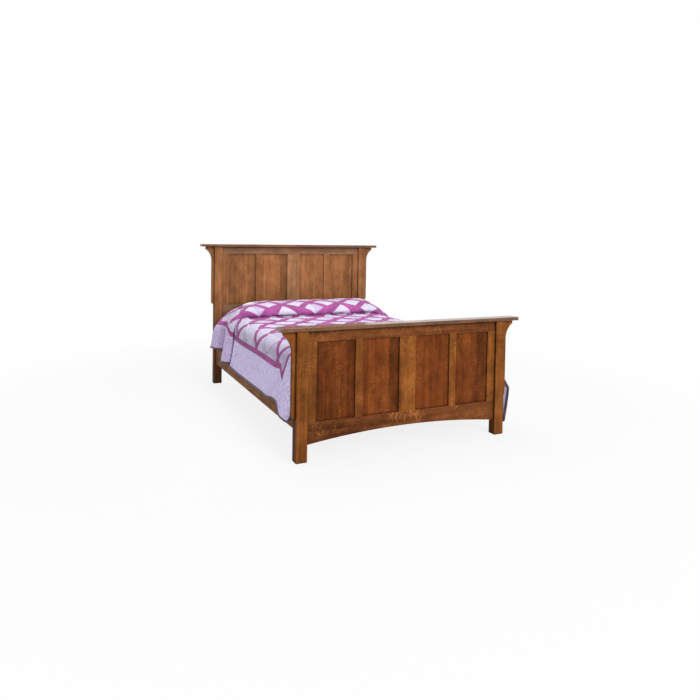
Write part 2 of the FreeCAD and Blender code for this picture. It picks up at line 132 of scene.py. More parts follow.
def new_piece(name, points, faces=(), materials=(), edges=()):
    """A mesh object at the origin with smooth faces."""
    mesh = bpy.data.meshes.new(name)
    mesh.from_pydata([tuple(p) for p in points], edges, faces)
    smooth_faces(mesh)
    for material in materials:
        mesh.materials.append(material)
    mesh.update()
    piece = bpy.data.objects.new(name, mesh)
    bpy.context.scene.collection.objects.link(piece)
    return piece


def closed_line(name, points):
    """A piece that is one closed line, for a cord to follow."""
    edges = [(i, (i + 1) % len(points)) for i in range(len(points))]
    return new_piece(name, points, edges=edges)


def settle(piece, slot, *nodes):
    """Put a finished piece on the bed, in place of the solids that it stands for."""
    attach(piece, BODY)
    if nodes:
        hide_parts(*nodes)


def made_plain(piece):
    """The evaluated shape as a plain mesh, with no modifier left."""
    graph = bpy.context.evaluated_depsgraph_get()
    mesh = bpy.data.meshes.new_from_object(piece.evaluated_get(graph))
    piece.modifiers.clear()
    piece.data = mesh


def add_node(tree, kind, settings, feeds):
    """Add a node: its settings first, then the values or links of its sockets."""
    made = tree.nodes.new(kind)
    for name, value in settings.items():
        setattr(made, name, value)
    for socket, value in feeds.items():
        for feed in value if isinstance(value, list) else [value]:
            feed = getattr(feed, "socket", feed)
            if isinstance(feed, bpy.types.NodeSocket):
                tree.links.new(feed, made.inputs[socket])
            else:
                made.inputs[socket].default_value = feed
    return made


# ------------------------------------------------------------------ shader sums
def math_step(operation):
    """A method that adds one Math node to a wire."""
    def step(self, *others):
        return self.sum(operation, self, *others)
    return step


class Wire:
    """An output socket on which sums are written; each step adds a Math node."""

    def __init__(self, graph, socket):
        self.graph = graph
        self.socket = socket

    def sum(self, operation, *operands):
        return self.graph.node("ShaderNodeMath", {"operation": operation},
                               dict(enumerate(operands)))

    __add__ = __radd__ = math_step("ADD")
    __mul__ = __rmul__ = math_step("MULTIPLY")
    __sub__ = math_step("SUBTRACT")
    __truediv__ = math_step("DIVIDE")
    __abs__ = math_step("ABSOLUTE")
    floor = math_step("FLOOR")
    root = math_step("SQRT")
    sine = math_step("SINE")
    modulo = math_step("FLOORED_MODULO")
    least = math_step("MINIMUM")
    most = math_step("MAXIMUM")
    below = math_step("LESS_THAN")
    above = math_step("GREATER_THAN")

    def __rsub__(self, other):
        return self.sum("SUBTRACT", other, self)

    def __neg__(self):
        return self * -1.0

    def rise(self, low, high):
        """0 below low and 1 above high, with a soft step between."""
        return self.graph.node(
            "ShaderNodeMapRange", {"interpolation_type": "SMOOTHSTEP"},
            {0: self, 1: low, 2: high, 3: 0.0, 4: 1.0})


class Graph:
    """The node tree of one material, or of the world."""

    def __init__(self, name, library="materials"):
        self.material = getattr(bpy.data, library).new(name)
        self.material.use_nodes = True
        self.tree = self.material.node_tree
        self.tree.nodes.clear()

    def node(self, kind, settings={}, feeds={}, output=0):
        return Wire(self, add_node(self.tree, kind, settings, feeds).outputs[output])

    def parts(self, vector):
        split = add_node(self.tree, "ShaderNodeSeparateXYZ", {}, {0: vector})
        return [Wire(self, socket) for socket in split.outputs]

    def place(self):
        """Where a point lies on the piece, in metres."""
        return self.node("ShaderNodeTexCoord", output="Object")

    def axes(self):
        """X, Y and Z of the piece, in metres."""
        return self.parts(self.place())

    def vector(self, x, y, z=0.0):
        return self.node("ShaderNodeCombineXYZ", {}, {0: x, 1: y, 2: z})

    def noise(self, vector, detail=2.0, rough=0.5, warp=0.0, pitch=1.0):
        return self.node("ShaderNodeTexNoise", {"noise_dimensions": "3D"},
                         {"Vector": vector, "Scale": pitch, "Detail": detail,
                          "Roughness": rough, "Distortion": warp}, "Fac")

    def grit(self, pitch, detail=2.0, rough=0.5, warp=0.0):
        """Noise all over the piece, with pitch hills to the metre."""
        return self.noise(self.place(), detail, rough, warp, pitch)

    def chance(self, number):
        """A fixed random share for each whole number."""
        return self.node("ShaderNodeTexWhiteNoise", {"noise_dimensions": "1D"},
                         {"W": number}, "Value")

    def mix(self, share, low, high):
        """Blend two colours."""
        def colour(value):
            return value if isinstance(value, Wire) else tuple(value)[:3] + (1.0,)
        return self.node("ShaderNodeMix", {"data_type": "RGBA"},
                         {0: share, 6: colour(low), 7: colour(high)}, 2)

    def tint(self, colour, amount):
        """A colour made darker or lighter by a number."""
        return self.node("ShaderNodeVectorMath", {"operation": "SCALE"},
                         {0: colour, 3: amount})

    def bump(self, height, distance, strength):
        return self.node("ShaderNodeBump", {},
                         {"Height": height, "Distance": distance,
                          "Strength": strength})

    def crevice(self, reach):
        """1 in the open, falling towards 0 in corners narrower than reach."""
        return self.node("ShaderNodeAmbientOcclusion", {"samples": 6},
                         {"Distance": reach}, "AO")

    def arris(self, radius):
        """0 on a flat face, rising towards an outside or inside edge."""
        rounded = self.node("ShaderNodeBevel", {"samples": 4}, {"Radius": radius})
        face = self.node("ShaderNodeNewGeometry", output="Normal")
        along = self.node("ShaderNodeVectorMath", {"operation": "DOT_PRODUCT"},
                          {0: rounded, 1: face}, "Value")
        return 1.0 - along

    def finish(self, feeds):
        """Join the surface to a Principled shader and hand back the material."""
        return self.end(self.node("ShaderNodeBsdfPrincipled", {}, feeds))

    def end(self, shader, output="ShaderNodeOutputMaterial"):
        add_node(self.tree, output, {}, {"Surface": shader})
        return self.material


# -------------------------------------------------------------------- settings
class BedStainSettings(bpy.types.PropertyGroup):
    """Colours and grain of the stained oak."""
    frame_colour: colour_property(
        "Frame", "Posts, stiles and corbels of the footboard", paint(129, 75, 30))
    rail_colour: colour_property(
        "Rails", "Rails and arched rail of the footboard", paint(100, 55, 28))
    panel_colour: colour_property(
        "Panels", "The darker boards of the footboard's panels", paint(97, 43, 11))
    # the headboard's colours are the footboard's oak painted lighter and greyer: a painted
    # reflection of the light it catches
    head_colour: colour_property(
        "Headboard", "Posts and stiles of the headboard", paint(140, 95, 61))
    head_centre_colour: colour_property(
        "Headboard centre", "The headboard's centre stile", paint(164, 120, 84))
    head_rail_colour: colour_property(
        "Headboard rails", "The headboard's rails", paint(127, 97, 76))
    head_panel_colour: colour_property(
        "Headboard panels", "The headboard's panels", paint(142, 96, 61))
    cap_colour: colour_property("Caps", "The two caps", paint(90, 58, 33))
    side_colour: colour_property("Side rails", "The two side rails", paint(120, 79, 39))
    grain_colour: colour_property("Grain", "Stain caught in the grain", paint(66, 28, 9))
    fleck_colour: colour_property("Ray fleck", "The light rays", paint(190, 126, 66))
    fleck_share: share_property("Fleck strength", "How light the ray fleck is", 0.26)
    # stain gathered in the corners, and painted shade there
    corner_stain_and_shade_colour: colour_property("Corners", "Stain gathered in the corners",
                                 paint(34, 14, 5))
    board_width: length_property("Panel board", "Boards glued up in a panel", 0.104)
    # stain rubbed off at edges, and a painted highlight along them
    wear_and_highlight_colour: colour_property("Worn edge", "Stain rubbed off at edges",
                                 paint(176, 120, 70))


class BedBaseSettings(bpy.types.PropertyGroup):
    """Slats, cleats, legs and hardware."""
    wood_colour: colour_property("Base wood", "Slats, cleats and legs",
                                 paint(206, 178, 132))
    steel_colour: colour_property("Plates", "Hook plates and slot plates",
                                  paint(176, 178, 180))
    glide_colour: colour_property("Glides", "Glides below the legs", paint(58, 54, 50))
    screw_radius: length_property("Screw head", "Radius of a screw's head", 0.0042)
    screw_pitch: length_property("Screw pitch", "Between screws along a cleat", 0.21)


class BedBeddingSettings(bpy.types.PropertyGroup):
    """Box spring, mattress and pillows."""
    ticking_colour: colour_property("Ticking", "The mattress cover", paint(228, 226, 218))
    ticking_stripe: colour_property("Ticking stripe", "Fine stripe in the ticking",
                                    paint(150, 160, 184))
    spring_colour: colour_property("Box spring", "Its cover", paint(214, 208, 196))
    pillow_colour: colour_property("Pillowcase", "Plain cotton", paint(236, 234, 238))
    piping_radius: length_property("Piping", "Radius of the cord at the edges", 0.0045)
    pillow_puff: bpy.props.FloatProperty(
        name="Pillow pressure", description="How hard the pillows are stuffed",
        default=3.0, min=0.0, max=20.0)
    voxel: length_property("Pillow voxel", "Size of the pillow's remeshed faces", 0.008)


class BedQuiltSettings(bpy.types.PropertyGroup):
    """Size, patchwork and colours of the quilt."""
    thickness: length_property("Thickness", "Top, wadding and lining", 0.008)
    half_width: length_property("Half width", "From its middle to a hem", 1.15)
    foot: length_property("Foot hem", "Where the hem at the foot lies on the cloth", -1.18)
    head: length_property("Head hem", "Where the hem at the head lies on the cloth", 1.0)
    rows: bpy.props.IntProperty(name="Rows", description="Rows of faces along the bed",
                                default=204, min=40)
    columns: bpy.props.IntProperty(
        name="Columns", description="Columns of faces from the middle to a hem",
        default=102, min=20)
    cell_width: length_property("Diamond width", "Across the bed", 0.29)
    cell_length: length_property("Diamond length", "Along the bed", 0.26)
    cell_start: length_property("First crossing", "A crossing of the lattice", 0.345)
    strip: length_property("Lattice strip", "Width of the lattice", 0.044)
    border: length_property("Border", "Plain cloth outside the stripe", 0.225)
    stripe: length_property("Stripe", "Width of the stripe round the patchwork", 0.042)
    binding: length_property("Binding", "Radius of the bound hem", 0.0082)
    white: colour_property("White", "White patches", paint(200, 190, 211))
    lilac: colour_property("Lilac", "Pale patches", paint(170, 156, 188))
    magenta: colour_property("Magenta", "Lattice and stripe", paint(166, 79, 146))
    lavender: colour_property("Lavender", "The border", paint(208, 196, 234))
    plum: colour_property("Plum", "The binding", paint(60, 25, 62))
    shade_white: colour_property("Cool white", "Cool clouding in the white",
                                 paint(182, 192, 206))
    lining: colour_property("Lining", "The underside", paint(190, 184, 208))


class BedStageSettings(bpy.types.PropertyGroup):
    """Camera, floor and light."""
    picture_side: number_property(
        "Picture side", "Width and height of the picture in pixels", 700.0)
    focal_pixels: number_property("Focal length", "In pixels of the picture", 580.907)
    centre_x: number_property(
        "Centre across", "Where the lens axis meets the picture, in pixels", 310.0)
    centre_y: number_property(
        "Centre down", "Where the lens axis meets the picture, in pixels", 256.0)
    camera_place: bpy.props.FloatVectorProperty(
        name="Camera", description="Where the camera stands", subtype="XYZ",
        default=(-2.15732, -4.46677, 1.41465))
    camera_turn: bpy.props.FloatVectorProperty(
        name="Camera turn", description="Yaw, pitch and roll", subtype="EULER",
        default=(0.4000, -0.028963, 0.013145))
    sky: number_property("Sky", "Light from all round", 0.72)
    key: number_property("Key", "Watts of the soft front light", 600.0)
    top: number_property("Top", "Watts of the light overhead", 70.0)
    floor_white: share_property("Floor white", "How white the floor looks near the bed",
                                0.84)
    floor_near: length_property("Floor fade start", "Where the floor starts to fade", 1.6)
    floor_far: length_property("Floor fade end", "Where the floor is plain white", 4.2)


SETTINGS = {
    "bed_stain": BedStainSettings,
    "bed_base": BedBaseSettings,
    "bed_bedding": BedBeddingSettings,
    "bed_quilt": BedQuiltSettings,
    "bed_stage": BedStageSettings,
}


# ------------------------------------------------------------------ oak finish
class Grain:
    """Noise drawn out along the boards of a piece.

    order names the axes along, across and through the boards.
    """

    def __init__(self, graph, order):
        self.graph = graph
        axes = dict(zip("XYZ", graph.axes()))
        self.along, self.across, self.depth = (axes[letter] for letter in order)

    def noise(self, fine, long, detail=1.0, rough=0.5, shift=0.0, deep=None):
        """Streaks, fine of them to a metre across the boards and long to a metre along."""
        place = self.graph.vector(self.across * fine + shift, self.along * long,
                                  self.depth * (deep or fine))
        return self.graph.noise(place, detail, rough)

    def rays(self):
        """The pale rays of quarter-sawn oak, in patches and at two slants."""
        slanted = []
        for slant, pitch in ((0.42, 190), (-0.55, 150)):
            place = self.graph.vector((self.along + self.across * slant) * pitch,
                                      (self.across - self.along * slant * 0.4) * 24,
                                      self.depth * 24)
            slanted.append(self.graph.noise(place, 1.0, 0.4).rise(0.57, 0.68))
        patch = self.noise(7, 3.6, 2.0, shift=4.4)
        return slanted[0].most(slanted[1]) * patch.rise(0.42, 0.62)


def shaded(graph, upright, scuff_and_floor_shade):
    """Painted shade on the wood: darker on the flanks, in deep corners and near the floor."""
    z = graph.axes()[2]
    sideways = graph.parts(graph.node("ShaderNodeNewGeometry", output="Normal"))[0]
    # painted shade: faces that look sideways come out darker
    flank = abs(sideways).rise(0.7, 0.9) * (0.42 if upright else 0.0)
    # painted shade in deep hollows, such as under the bed
    shut_in = (1.0 - graph.crevice(0.45)).rise(0.25, 0.95)
    # painted shadow near the floor, for the uprights given a weight for it
    low_down = (0.30 - z).rise(0.0, 0.14)
    return (1.0 - low_down * scuff_and_floor_shade) * (1.0 - flank) * (1.0 - shut_in * 0.45)


def oak(name, stain, order, colour, fleck, board_width=None, shade=0.5, sheen=0.0,
        contrast=1.0, scuff_and_floor_shade=0.0):
    """Quarter-sawn oak: straight streaks, pores and rays that cross the grain."""
    graph = Graph(name)
    grain = Grain(graph, order)
    grain.across = grain.across + (grain.noise(4, 0.9) - 0.5) * 0.03
    tone = grain.noise(8, 0.8, shift=3.1, deep=7)
    if board_width:
        board = graph.chance((graph.axes()[0] / board_width + 0.37).floor() + 5.0)
        tone = tone * 0.5 + board * 0.5
    band = grain.noise(26, 1.3, 3.0, 0.6, shift=1.7)
    cloud = grain.noise(13, 7.5, 3.0, 0.6)
    streak = grain.noise(70, 1.8, 4.0, 0.65)
    fine = grain.noise(310, 7, 2.0, 0.6)
    ripple = grain.noise(46, 130, 2.0, 0.6)
    pore = grain.noise(760, 24).rise(0.6, 0.7)
    ray = grain.rays() * fleck

    light = (band.rise(0.25, 0.75) * 0.38 + streak.rise(0.28, 0.72) * 0.36
             + cloud.rise(0.28, 0.72) * 0.26)
    light = 0.5 + (light - 0.5) * contrast
    ground = graph.mix(light, graph.mix(0.80, colour, stain.grain_colour),
                       graph.mix(0.10, graph.tint(colour, 1.35), stain.fleck_colour))
    ground = graph.mix(ray * stain.fleck_share, ground, stain.fleck_colour)
    ground = graph.mix(pore * 0.35, ground, stain.grain_colour)
    level = 1.0 + ((tone - 0.5) * 1.3 + (cloud - 0.5) + (fine - 0.5) * 0.4
                   + (ripple - 0.5) * 0.4 * fleck) * contrast
    # painted shade from shaded() darkens the colour here
    ground = graph.tint(ground, level * shaded(graph, order[0] == "Z", scuff_and_floor_shade))

    # lighter edges: stain rubbed off, and a painted highlight on the arrises
    worn_and_lit_edge = graph.arris(0.006).rise(0.03, 0.3)
    patchy = graph.grit(21).rise(0.40, 0.70)
    ground = graph.mix(worn_and_lit_edge * patchy * 0.25, ground, stain.wear_and_highlight_colour)
    # darker in corners and recesses: stain gathered there, and painted shade
    hollow = 1.0 - graph.crevice(0.03)
    ground = graph.mix(hollow.rise(0.05, 0.75) * shade, ground, stain.corner_stain_and_shade_colour)
    relief = streak * 0.5 + fine * 0.25 - pore * 0.6 + ray * 0.15
    return graph.finish({
        "Base Color": ground,
        "Roughness": 0.46 + fine * 0.12 - ray * 0.08 + hollow * 0.2,
        "Specular IOR Level": 0.05,
        "Coat Weight": sheen * (1.0 - worn_and_lit_edge * 0.4) * (0.62 + cloud * 0.7),
        "Coat Roughness": 0.16,
        "Normal": graph.bump(relief, 0.0005, 0.6),
    })


def node_names(*words, start=""):
    """Frame nodes that begin with start and whose names hold one of the words."""
    return [name for name in sorted(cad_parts)
            if name.startswith(start) and any(word in name for word in words)]


def coat(names, material):
    for name in names:
        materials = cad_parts[name].data.materials
        materials.clear()
        materials.append(material)


class BED_OT_stain_oak(bpy.types.Operator):
    """Stain the posts, rails, panels, caps and corbels"""
    bl_idname = "bed.stain_oak"
    bl_label = "Stain the Oak"

    def execute(self, context):
        stain = context.scene.bed_stain
        uprights = ("post_left", "post_right", "stile", "mullion", "corbel")
        foot = node_names(*uprights, start="footboard")
        head = node_names(*uprights, start="headboard")
        boards = stain.board_width
        coats = (
            ("foot_uprights", foot, "ZXY", stain.frame_colour,
             dict(fleck=0.8, contrast=0.85)),
            # the headboard's uprights take a painted shadow near the floor
            ("head_uprights", head, "ZXY", stain.head_colour,
             dict(fleck=0.6, contrast=0.6, scuff_and_floor_shade=0.36)),
            ("head_centre", ["headboard_centre_stile"], "ZXY", stain.head_centre_colour,
             dict(fleck=0.6, contrast=0.5)),
            ("foot_top_rail", ["footboard_top_rail"], "XZY", stain.rail_colour,
             dict(fleck=0.8)),
            ("arched_rail", ["footboard_arched_rail"], "XZY", stain.rail_colour,
             dict(fleck=1.7)),
            ("head_rails", ["headboard_top_rail", "headboard_lower_rail"], "XZY",
             stain.head_rail_colour, dict(fleck=0.6, contrast=0.6)),
            ("foot_panels", node_names("footboard_panel"), "ZXY", stain.panel_colour,
             dict(fleck=0.55, board_width=boards, shade=0.95, contrast=0.95)),
            ("head_panels", node_names("headboard_panel"), "ZXY",
             stain.head_panel_colour,
             dict(fleck=0.5, board_width=boards, shade=0.8, contrast=0.62)),
            ("caps", node_names("_cap"), "XZY", stain.cap_colour,
             dict(fleck=0.5, sheen=1.0)),
            ("side_rails", node_names("side_rail"), "YZX", stain.side_colour,
             dict(fleck=0.8)),
        )
        for name, nodes, order, colour, figure in coats:
            coat(nodes, oak("oak_" + name, stain, order, colour, **figure))
        return {"FINISHED"}


# -------------------------------------------------------------- base and metal
def plain_wood(name, colour, order):
    """Planed, unfinished wood with soft grain and a few darker growth bands."""
    graph = Graph(name)
    grain = Grain(graph, order)
    band = grain.noise(40, 1.2, 4.0, 0.6)
    fine = grain.noise(420, 9, 2.0)
    tone = graph.noise(graph.vector(grain.across * 3, grain.along * 0.8,
                                    grain.depth * 3 + 7), 1.0)
    ground = graph.mix(band.rise(0.3, 0.75), graph.mix(0.22, colour, paint(150, 104, 60)),
                       colour)
    return graph.finish({
        "Base Color": graph.tint(ground, 0.82 + tone * 0.25 + fine * 0.1),
        "Roughness": 0.62 + fine * 0.2,
        "Normal": graph.bump(band * 0.4 + fine * 0.6, 0.0004, 0.6),
    })


def zinc_steel(name, colour):
    """Galvanised plate with pale spangles and fine upright scratches."""
    graph = Graph(name)
    x, y, z = graph.axes()
    spangle = graph.grit(160)
    scratch = graph.noise(graph.vector(x * 900, y * 900, z * 60), 2.0)
    ground = graph.mix(spangle.rise(0.4, 0.6), colour, paint(146, 148, 152))
    return graph.finish({
        "Base Color": graph.tint(ground, 0.9 + scratch * 0.2),
        "Metallic": 1.0,
        "Roughness": 0.34 + spangle * 0.14 + scratch * 0.1,
        "Normal": graph.bump(scratch, 0.0001, 0.5),
    })


def moulded_nylon(name, colour):
    """Dark moulded plastic, scuffed pale here and there."""
    graph = Graph(name)
    scuff_and_floor_shade = graph.grit(300, 3.0)
    return graph.finish({
        "Base Color": graph.mix(scuff_and_floor_shade.rise(0.5, 0.8) * 0.5, colour, paint(110, 106, 100)),
        "Roughness": 0.5 + scuff_and_floor_shade * 0.25,
        "Normal": graph.bump(scuff_and_floor_shade, 0.0002, 0.4),
    })


class BED_OT_finish_base(bpy.types.Operator):
    """Finish the slats, cleats, legs, glides and steel plates"""
    bl_idname = "bed.finish_base"
    bl_label = "Finish the Base"

    def execute(self, context):
        base = context.scene.bed_base
        for word, name, order in (("slat_", "poplar_slats", "XYZ"),
                                  ("cleat", "poplar_cleats", "YZX"),
                                  ("support_leg", "poplar_legs", "ZXY")):
            coat(node_names(word), plain_wood(name, base.wood_colour, order))
        coat(["rail_hook_plates", "post_slot_plates"],
             zinc_steel("zinc_plates", base.steel_colour))
        coat(["leg_glides"], moulded_nylon("nylon_glides", base.glide_colour))
        return {"FINISHED"}


# ---------------------------------------------------------------- geometry trees
class Steps:
    """A geometry tree with named number inputs, to which nodes are added in turn."""

    def __init__(self, name, *inputs):
        self.tree = bpy.data.node_groups.new(name, "GeometryNodeTree")
        sockets = [("Geometry", "INPUT", "NodeSocketGeometry")]
        sockets += [(title, "INPUT", "NodeSocketFloat") for title in inputs]
        sockets += [("Geometry", "OUTPUT", "NodeSocketGeometry")]
        for title, way, kind in sockets:
            self.tree.interface.new_socket(title, in_out=way, socket_type=kind)
        self.given = self.tree.nodes.new("NodeGroupInput").outputs

    def node(self, kind, settings={}, feeds={}, output=0):
        return add_node(self.tree, kind, settings, feeds).outputs[output]

    def hand_over(self, geometry, material):
        """Realize the copies, give them their finish and pass them on."""
        real = self.node("GeometryNodeRealizeInstances", {}, {0: geometry})
        done = self.node("GeometryNodeSetMaterial", {},
                         {"Geometry": real, "Material": material})
        add_node(self.tree, "NodeGroupOutput", {}, {0: done})
        return self.tree


def run_tree(piece, tree, values):
    """Run a tree on a piece with its inputs set, and keep the plain result."""
    modifier = piece.modifiers.new(tree.name, "NODES")
    modifier.node_group = tree
    for item in tree.interface.items_tree:
        if item.item_type == "SOCKET" and item.name in values:
            modifier[item.identifier] = float(values[item.name])
    made_plain(piece)


def screw_tree(material):
    """A countersunk screw with a cross slot at every point, facing along its way."""
    steps = Steps("screws", "Head radius", "Shank radius", "Head height", "Slot width",
                  "Slot lift")
    given = steps.given
    head = steps.node("GeometryNodeMeshCone", {}, {
        "Vertices": 20, "Radius Top": given["Shank radius"],
        "Radius Bottom": given["Head radius"], "Depth": given["Head height"]})
    size = steps.node("ShaderNodeCombineXYZ", {}, {
        0: given["Head radius"], 1: given["Slot width"], 2: given["Head height"]})
    bar = steps.node("GeometryNodeMeshCube", {}, {"Size": size})
    raised = steps.node("ShaderNodeCombineXYZ", {}, {2: given["Slot lift"]})
    slot = steps.node("GeometryNodeTransform", {},
                      {"Geometry": bar, "Translation": raised})
    cross = steps.node("GeometryNodeTransform", {}, {
        "Geometry": slot, "Rotation": (0.0, 0.0, math.pi / 2)})
    screw = steps.node("GeometryNodeMeshBoolean", {"operation": "DIFFERENCE"},
                       {0: head, 1: [slot, cross]})
    way = steps.node("GeometryNodeInputNamedAttribute", {"data_type": "FLOAT_VECTOR"},
                     {"Name": "way"}, "Attribute")
    turn = steps.node("FunctionNodeAlignRotationToVector", {"axis": "Z"}, {"Vector": way})
    copies = steps.node("GeometryNodeInstanceOnPoints", {}, {
        "Points": given["Geometry"], "Instance": screw, "Rotation": turn})
    return steps.hand_over(copies, material)


class BED_OT_drive_screws(bpy.types.Operator):
    """Drive the screws that hold the cleats to the side rails"""
    bl_idname = "bed.drive_screws"
    bl_label = "Drive the Screws"

    def execute(self, context):
        base = context.scene.bed_base
        points = []
        for side in ("left", "right"):
            low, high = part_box("cleat_" + side)
            x = high.x if side == "left" else low.x
            count = int((high.y - low.y) / base.screw_pitch)
            start = (low.y + high.y) / 2 - (count - 1) * base.screw_pitch / 2
            for i in range(count):
                level = low.z + (high.z - low.z) * (0.34 if i % 2 else 0.66)
                points.append((x, start + i * base.screw_pitch, level))
        piece = new_piece("cleat_screws", points)
        way = piece.data.attributes.new("way", "FLOAT_VECTOR", "POINT")
        for index, point in enumerate(points):
            way.data[index].vector = (1.0 if point[0] < 0 else -1.0, 0.0, 0.0)
        run_tree(piece, screw_tree(zinc_steel("screw_steel", base.steel_colour)), {
            "Head radius": base.screw_radius, "Shank radius": 0.0034,
            "Head height": 0.0014, "Slot width": 0.0011, "Slot lift": 0.0012})
        settle(piece, "hardware_steel")
        return {"FINISHED"}


# ------------------------------------------------------------ padded bedding
PAD_CORNER = 0.06       # radius of a pad's corners, seen from above
PAD_PITCH = 0.05        # the longest face round a pad
TUFT_PITCH = 0.19       # between the tufts of the mattress
PIPING_INSET = 0.0035   # of a piping's middle line, from the side of its pad
PILLOW_FRAMES = 18      # the simulation's length
PILLOW_CAP = 0.006      # how far the pillow's cloth may swell


def cloth_weave(u, v, pitch):
    """Over-and-under threads, 0 to 1, on two metre coordinates."""
    turn = 2 * math.pi / pitch
    warp = (u * turn).sine() * 0.5 + 0.5
    weft = (v * turn).sine() * 0.5 + 0.5
    return warp * 0.5 + weft * 0.5


def ticking(name, colour, stripe):
    """Woven cover with fine stripes that run round the pad, and stitched diamonds."""
    graph = Graph(name)
    x, y, z = graph.axes()
    run = x + y
    line = abs((z / 0.021).modulo(1.0) - 0.5)
    fine = line.below(0.06) + abs(line - 0.2).below(0.025)
    upright = abs((run / 0.085).modulo(1.0) - 0.5)
    slanted = abs((z / 0.085 + run / 0.17).modulo(1.0) - 0.5)
    seam = upright.least(slanted).rise(0.0, 0.16)
    slub = graph.noise(graph.vector(x * 300, y * 300, z * 90), 2.0)
    weave = cloth_weave(run, z, 0.0016)
    ground = graph.mix(fine.least(1.0) * 0.45, colour, stripe)
    return graph.finish({
        "Base Color": graph.tint(ground, 0.90 + slub * 0.14),
        "Roughness": 0.82 + slub * 0.1,
        "Sheen Weight": 0.15,
        "Normal": graph.bump(seam + weave * 0.1 + slub * 0.1, 0.003, 0.7),
    })


def plain_cloth(name, colour, pitch, crumple):
    """Plain woven cotton with slubs and soft creases."""
    graph = Graph(name)
    x, y, z = graph.axes()
    weave = cloth_weave(x + z, y + z, pitch)
    slub = graph.grit(260)
    crease = graph.grit(11, 4.0, 0.6, 0.6)
    # painted shade: greyer along the soft creases
    ground = graph.mix(crease.rise(0.3, 0.7) * 0.15, colour, paint(196, 192, 204))
    return graph.finish({
        "Base Color": graph.tint(ground, 0.92 + slub * 0.12),
        "Roughness": 0.85 + slub * 0.1,
        "Sheen Weight": 0.2,
        "Normal": graph.bump(weave * 0.08 + slub * 0.06 + crease * crumple, 0.004, 0.6),
    })


def densified(points, pitch):
    """Close an outline and put a point at least every pitch along it."""
    out = []
    for a, b in zip(points, points[1:] + points[:1]):
        count = max(1, int(math.dist(a, b) / pitch))
        out += [(a[0] + (b[0] - a[0]) * i / count, a[1] + (b[1] - a[1]) * i / count)
                for i in range(count)]
    return out


def pad_outline(half_x, half_y, steps=7):
    """Round-cornered outline seen from above, starting at the right side."""
    points = []
    for quarter in range(4):
        middle_x = (half_x - PAD_CORNER) * (1 if quarter in (0, 3) else -1)
        middle_y = (half_y - PAD_CORNER) * (1 if quarter in (0, 1) else -1)
        for i in range(steps):
            angle = (quarter + i / steps) * math.pi / 2
            points.append((middle_x + PAD_CORNER * math.cos(angle),
                           middle_y + PAD_CORNER * math.sin(angle)))
    return densified(points, PAD_PITCH)


def quarter_turn(steps):
    return [math.pi / 2 * i / steps for i in range(steps + 1)]


def pad_rings(half_x, height, base, top, bulge, spread):
    """Inset and height of each ring, up from the middle of the base, and where the top starts.

    base and top are the radii of the rolled edges, and spread widens the top one.
    """
    under = [(base + (half_x - base) * i / 6, 0.0) for i in range(5, 0, -1)]
    side = [(base * (1 - math.sin(a)), base * (1 - math.cos(a))) for a in quarter_turn(6)]
    side += [(bulge * (1 - math.sin(math.pi * i / 8)), base + (height - base - top) * i / 8)
             for i in range(1, 8)]
    side += [(top * spread * (1 - math.cos(a)), height - top * (1 - math.sin(a)))
             for a in quarter_turn(8)]
    first = side[-1][0]
    over = [(first + (half_x - first) * i / 26, height) for i in range(1, 26)]
    return under + side + over, len(under) + len(side)


def build_pad(name, node, material, base, top, bulge, spread=1.0, tuft=0.0):
    """A pad with rolled edges, a bulging border and a lightly tufted top."""
    low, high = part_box(node)
    centre = (low + high) / 2
    reach = np.array([(high.x - low.x) / 2, (high.y - low.y) / 2])
    outline = np.array(pad_outline(*reach))
    rings, top_ring = pad_rings(reach[0], high.z - low.z, base, top, bulge, spread)
    points = []
    for index, (inset, level) in enumerate(rings):
        for x, y in outline * np.clip(1 - inset / reach, 0.0, 1.0):
            hill = abs(math.sin(math.pi * x / TUFT_PITCH) * math.sin(math.pi * y / TUFT_PITCH))
            dip = tuft * (1 - hill ** 0.5) if index > top_ring else 0.0
            points.append((centre.x + x, centre.y + y, low.z + level - dip))
    count = len(outline)
    faces = [tuple(reversed(range(count)))]
    for a in range(0, (len(rings) - 1) * count, count):
        for i in range(count):
            j = (i + 1) % count
            faces.append((a + i, a + j, a + count + j, a + count + i))
    faces.append(tuple(range(len(points) - count, len(points))))
    return new_piece(name, points, faces, [material])


def cord_tree(name, material):
    """Sweep a round cord along the lines that come in."""
    steps = Steps(name, "Radius")
    line = steps.node("GeometryNodeMeshToCurve", {}, {"Mesh": steps.given["Geometry"]})
    ring = steps.node("GeometryNodeCurvePrimitiveCircle", {}, {
        "Resolution": 10, "Radius": steps.given["Radius"]})
    tube = steps.node("GeometryNodeCurveToMesh", {}, {
        "Curve": line, "Profile Curve": ring, "Fill Caps": True})
    return steps.hand_over(tube, material)


def corded(name, points, material, radius):
    """A smooth cord along a closed line."""
    piece = closed_line(name, points)
    run_tree(piece, cord_tree(name + "_sweep", material), {"Radius": radius})
    smooth_faces(piece.data)
    return piece


def upholster(name, node, slot, fill, cover, trim, radius, levels, **shape):
    """Build a pad in place of its solid, and sew a piping round it at each level."""
    pad = build_pad(name, node, cover, **shape)
    settle(pad, slot, node)
    low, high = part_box(node)
    centre = (low + high) / 2
    outline = pad_outline((high.x - low.x) / 2 - PIPING_INSET,
                          (high.y - low.y) / 2 - PIPING_INSET)
    for word, level in levels.items():
        line = [(centre.x + x, centre.y + y, level) for x, y in outline]
        settle(corded(node + "_piping_" + word, line, trim, radius), slot)


class BED_OT_cover_box_spring(bpy.types.Operator):
    """Upholster the box spring and pipe its edges"""
    bl_idname = "bed.cover_box_spring"
    bl_label = "Cover the Box Spring"

    def execute(self, context):
        soft = context.scene.bed_bedding
        low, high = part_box("box_spring")
        cloth = plain_cloth("box_spring_cover", soft.spring_colour, 0.002, 0.1)
        upholster("box_spring_upholstered", "box_spring", "box_spring_cloth", 0.95,
                  cloth, cloth, soft.piping_radius,
                  {"top": high.z - 0.012, "base": low.z + 0.01},
                  base=0.012, top=0.016, bulge=0.003)
        return {"FINISHED"}


